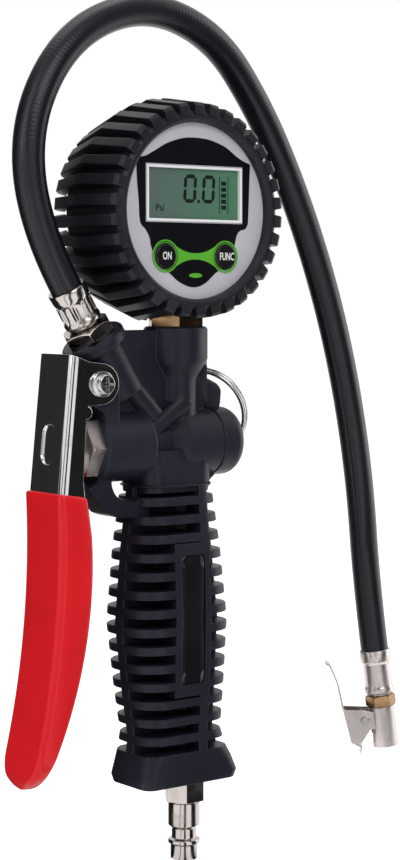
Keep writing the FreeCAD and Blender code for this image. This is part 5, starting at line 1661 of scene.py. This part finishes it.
    def build_display(self) -> None:
        """Show two zeros with their point, the bar graph in its braces and the unit."""
        half = self.digit_stroke / 2
        wide, tall = self.digit_width - self.digit_stroke, self.digit_height - self.digit_stroke
        outlines = []
        for left in self.digit_lefts:
            x, y = left + half, self.digit_foot + half
            for a, b in (((0, 0), (wide, 0)), ((0, tall), (wide, tall)), ((0, 0), (0, tall / 2)),
                         ((0, tall / 2), (0, tall)), ((wide, 0), (wide, tall / 2)),
                         ((wide, tall / 2), (wide, tall))):
                outlines.append(self.segment((x + a[0], y + a[1]), (x + b[0], y + b[1])))
        outlines.append(rectangle(*self.point))
        for i in range(self.bars):
            foot = self.bar_foot + self.bar_step * i
            outlines.append(rectangle(self.bar_sides[0], foot, self.bar_sides[1], foot + self.bar_height))
        foot, top = self.brace_foot, self.brace_top
        for x, turn in self.brace_sides:
            lip, line = x + turn * self.brace_lip, x + turn * self.brace_line
            low, high = foot + self.brace_line, top - self.brace_line
            outlines.append([(x, foot), (lip, foot), (lip, low), (line, low), (line, high), (lip, high),
                             (lip, top), (x, top)])
        digits = Bench.flat("DisplayDigits", outlines)
        self.raise_print(digits, (0.0, 0.0, self.lcd_plane), Finishes.DIGITS, self.segment_height)
        unit = Bench.lettering("DisplayUnit", "Psi", self.unit_size, self.unit_bold)
        self.raise_print(unit, (*self.unit_place, self.lcd_plane), Finishes.DIGITS, self.segment_height)


@dataclass
class HangingRing:
    """The split ring, turns of round wire, leaning in its eye; sizes in millimetres."""

    turn: float = -37.6
    along: float = 6.2
    back: float = 22.6
    height: float = 167.0
    radius: float = 17.0
    wire: float = 0.9
    pitch: float = 2.25
    turns: int = 2
    per_turn: int = 48
    eye: float = 184.8
    lean: float = 24.0
    lean_axis: Point = (0.66, 0.0, -0.75)
    sharp: float = 60.0

    def build(self) -> None:
        """Sweep the wire and hang the ring on its body."""
        eye = shift(self.along, self.back, self.eye)
        lean = eye @ spin(self.lean, Vector(self.lean_axis)) @ eye.inverted()
        hang = shift(self.along, self.back - self.pitch, self.height) @ spin(-90.0, "X") @ spin(90.0, "Z")
        ring = Bench.install(self.sweep(), spin(self.turn, "Z") @ lean @ hang)
        Bench.outward(ring)
        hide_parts("split_ring")
        Bench.dress(ring, Body.RING, Finishes.STEEL, self.sharp)

    def sweep(self) -> Thing:
        """Sweep the round wire along a helix about its own Z axis.

        Returns:
            The wire.
        """
        curve = bpy.data.curves.new("SplitRing", "CURVE")
        curve.dimensions = "3D"
        curve.bevel_depth = self.wire
        curve.bevel_resolution = 4
        curve.use_fill_caps = True
        spline = curve.splines.new("POLY")
        spline.points.add(self.turns * self.per_turn)
        for i, point in enumerate(spline.points):
            angle = math.tau * i / self.per_turn
            point.co = (self.radius * math.cos(angle), self.radius * math.sin(angle),
                        self.pitch * i / self.per_turn, 1.0)
        return Bench.to_mesh(Bench.lay_out("SplitRing", curve))


def main() -> None:
    """Build the scene piece by piece."""
    logging.basicConfig(level=logging.INFO, format="%(name)s %(message)s")
    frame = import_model()
    Studio().build()
    CastParts().build(frame)
    Hose().build(frame)
    for assembly in (GaugeBoot(), CrimpedFerrule(), LeverSleeve(), ValveNut(), LabelPlate(), EyeBlock(),
                     ScreenWindow(), DialFace(), HangingRing()):
        assembly.build()


if __name__ == "__main__":
    main()
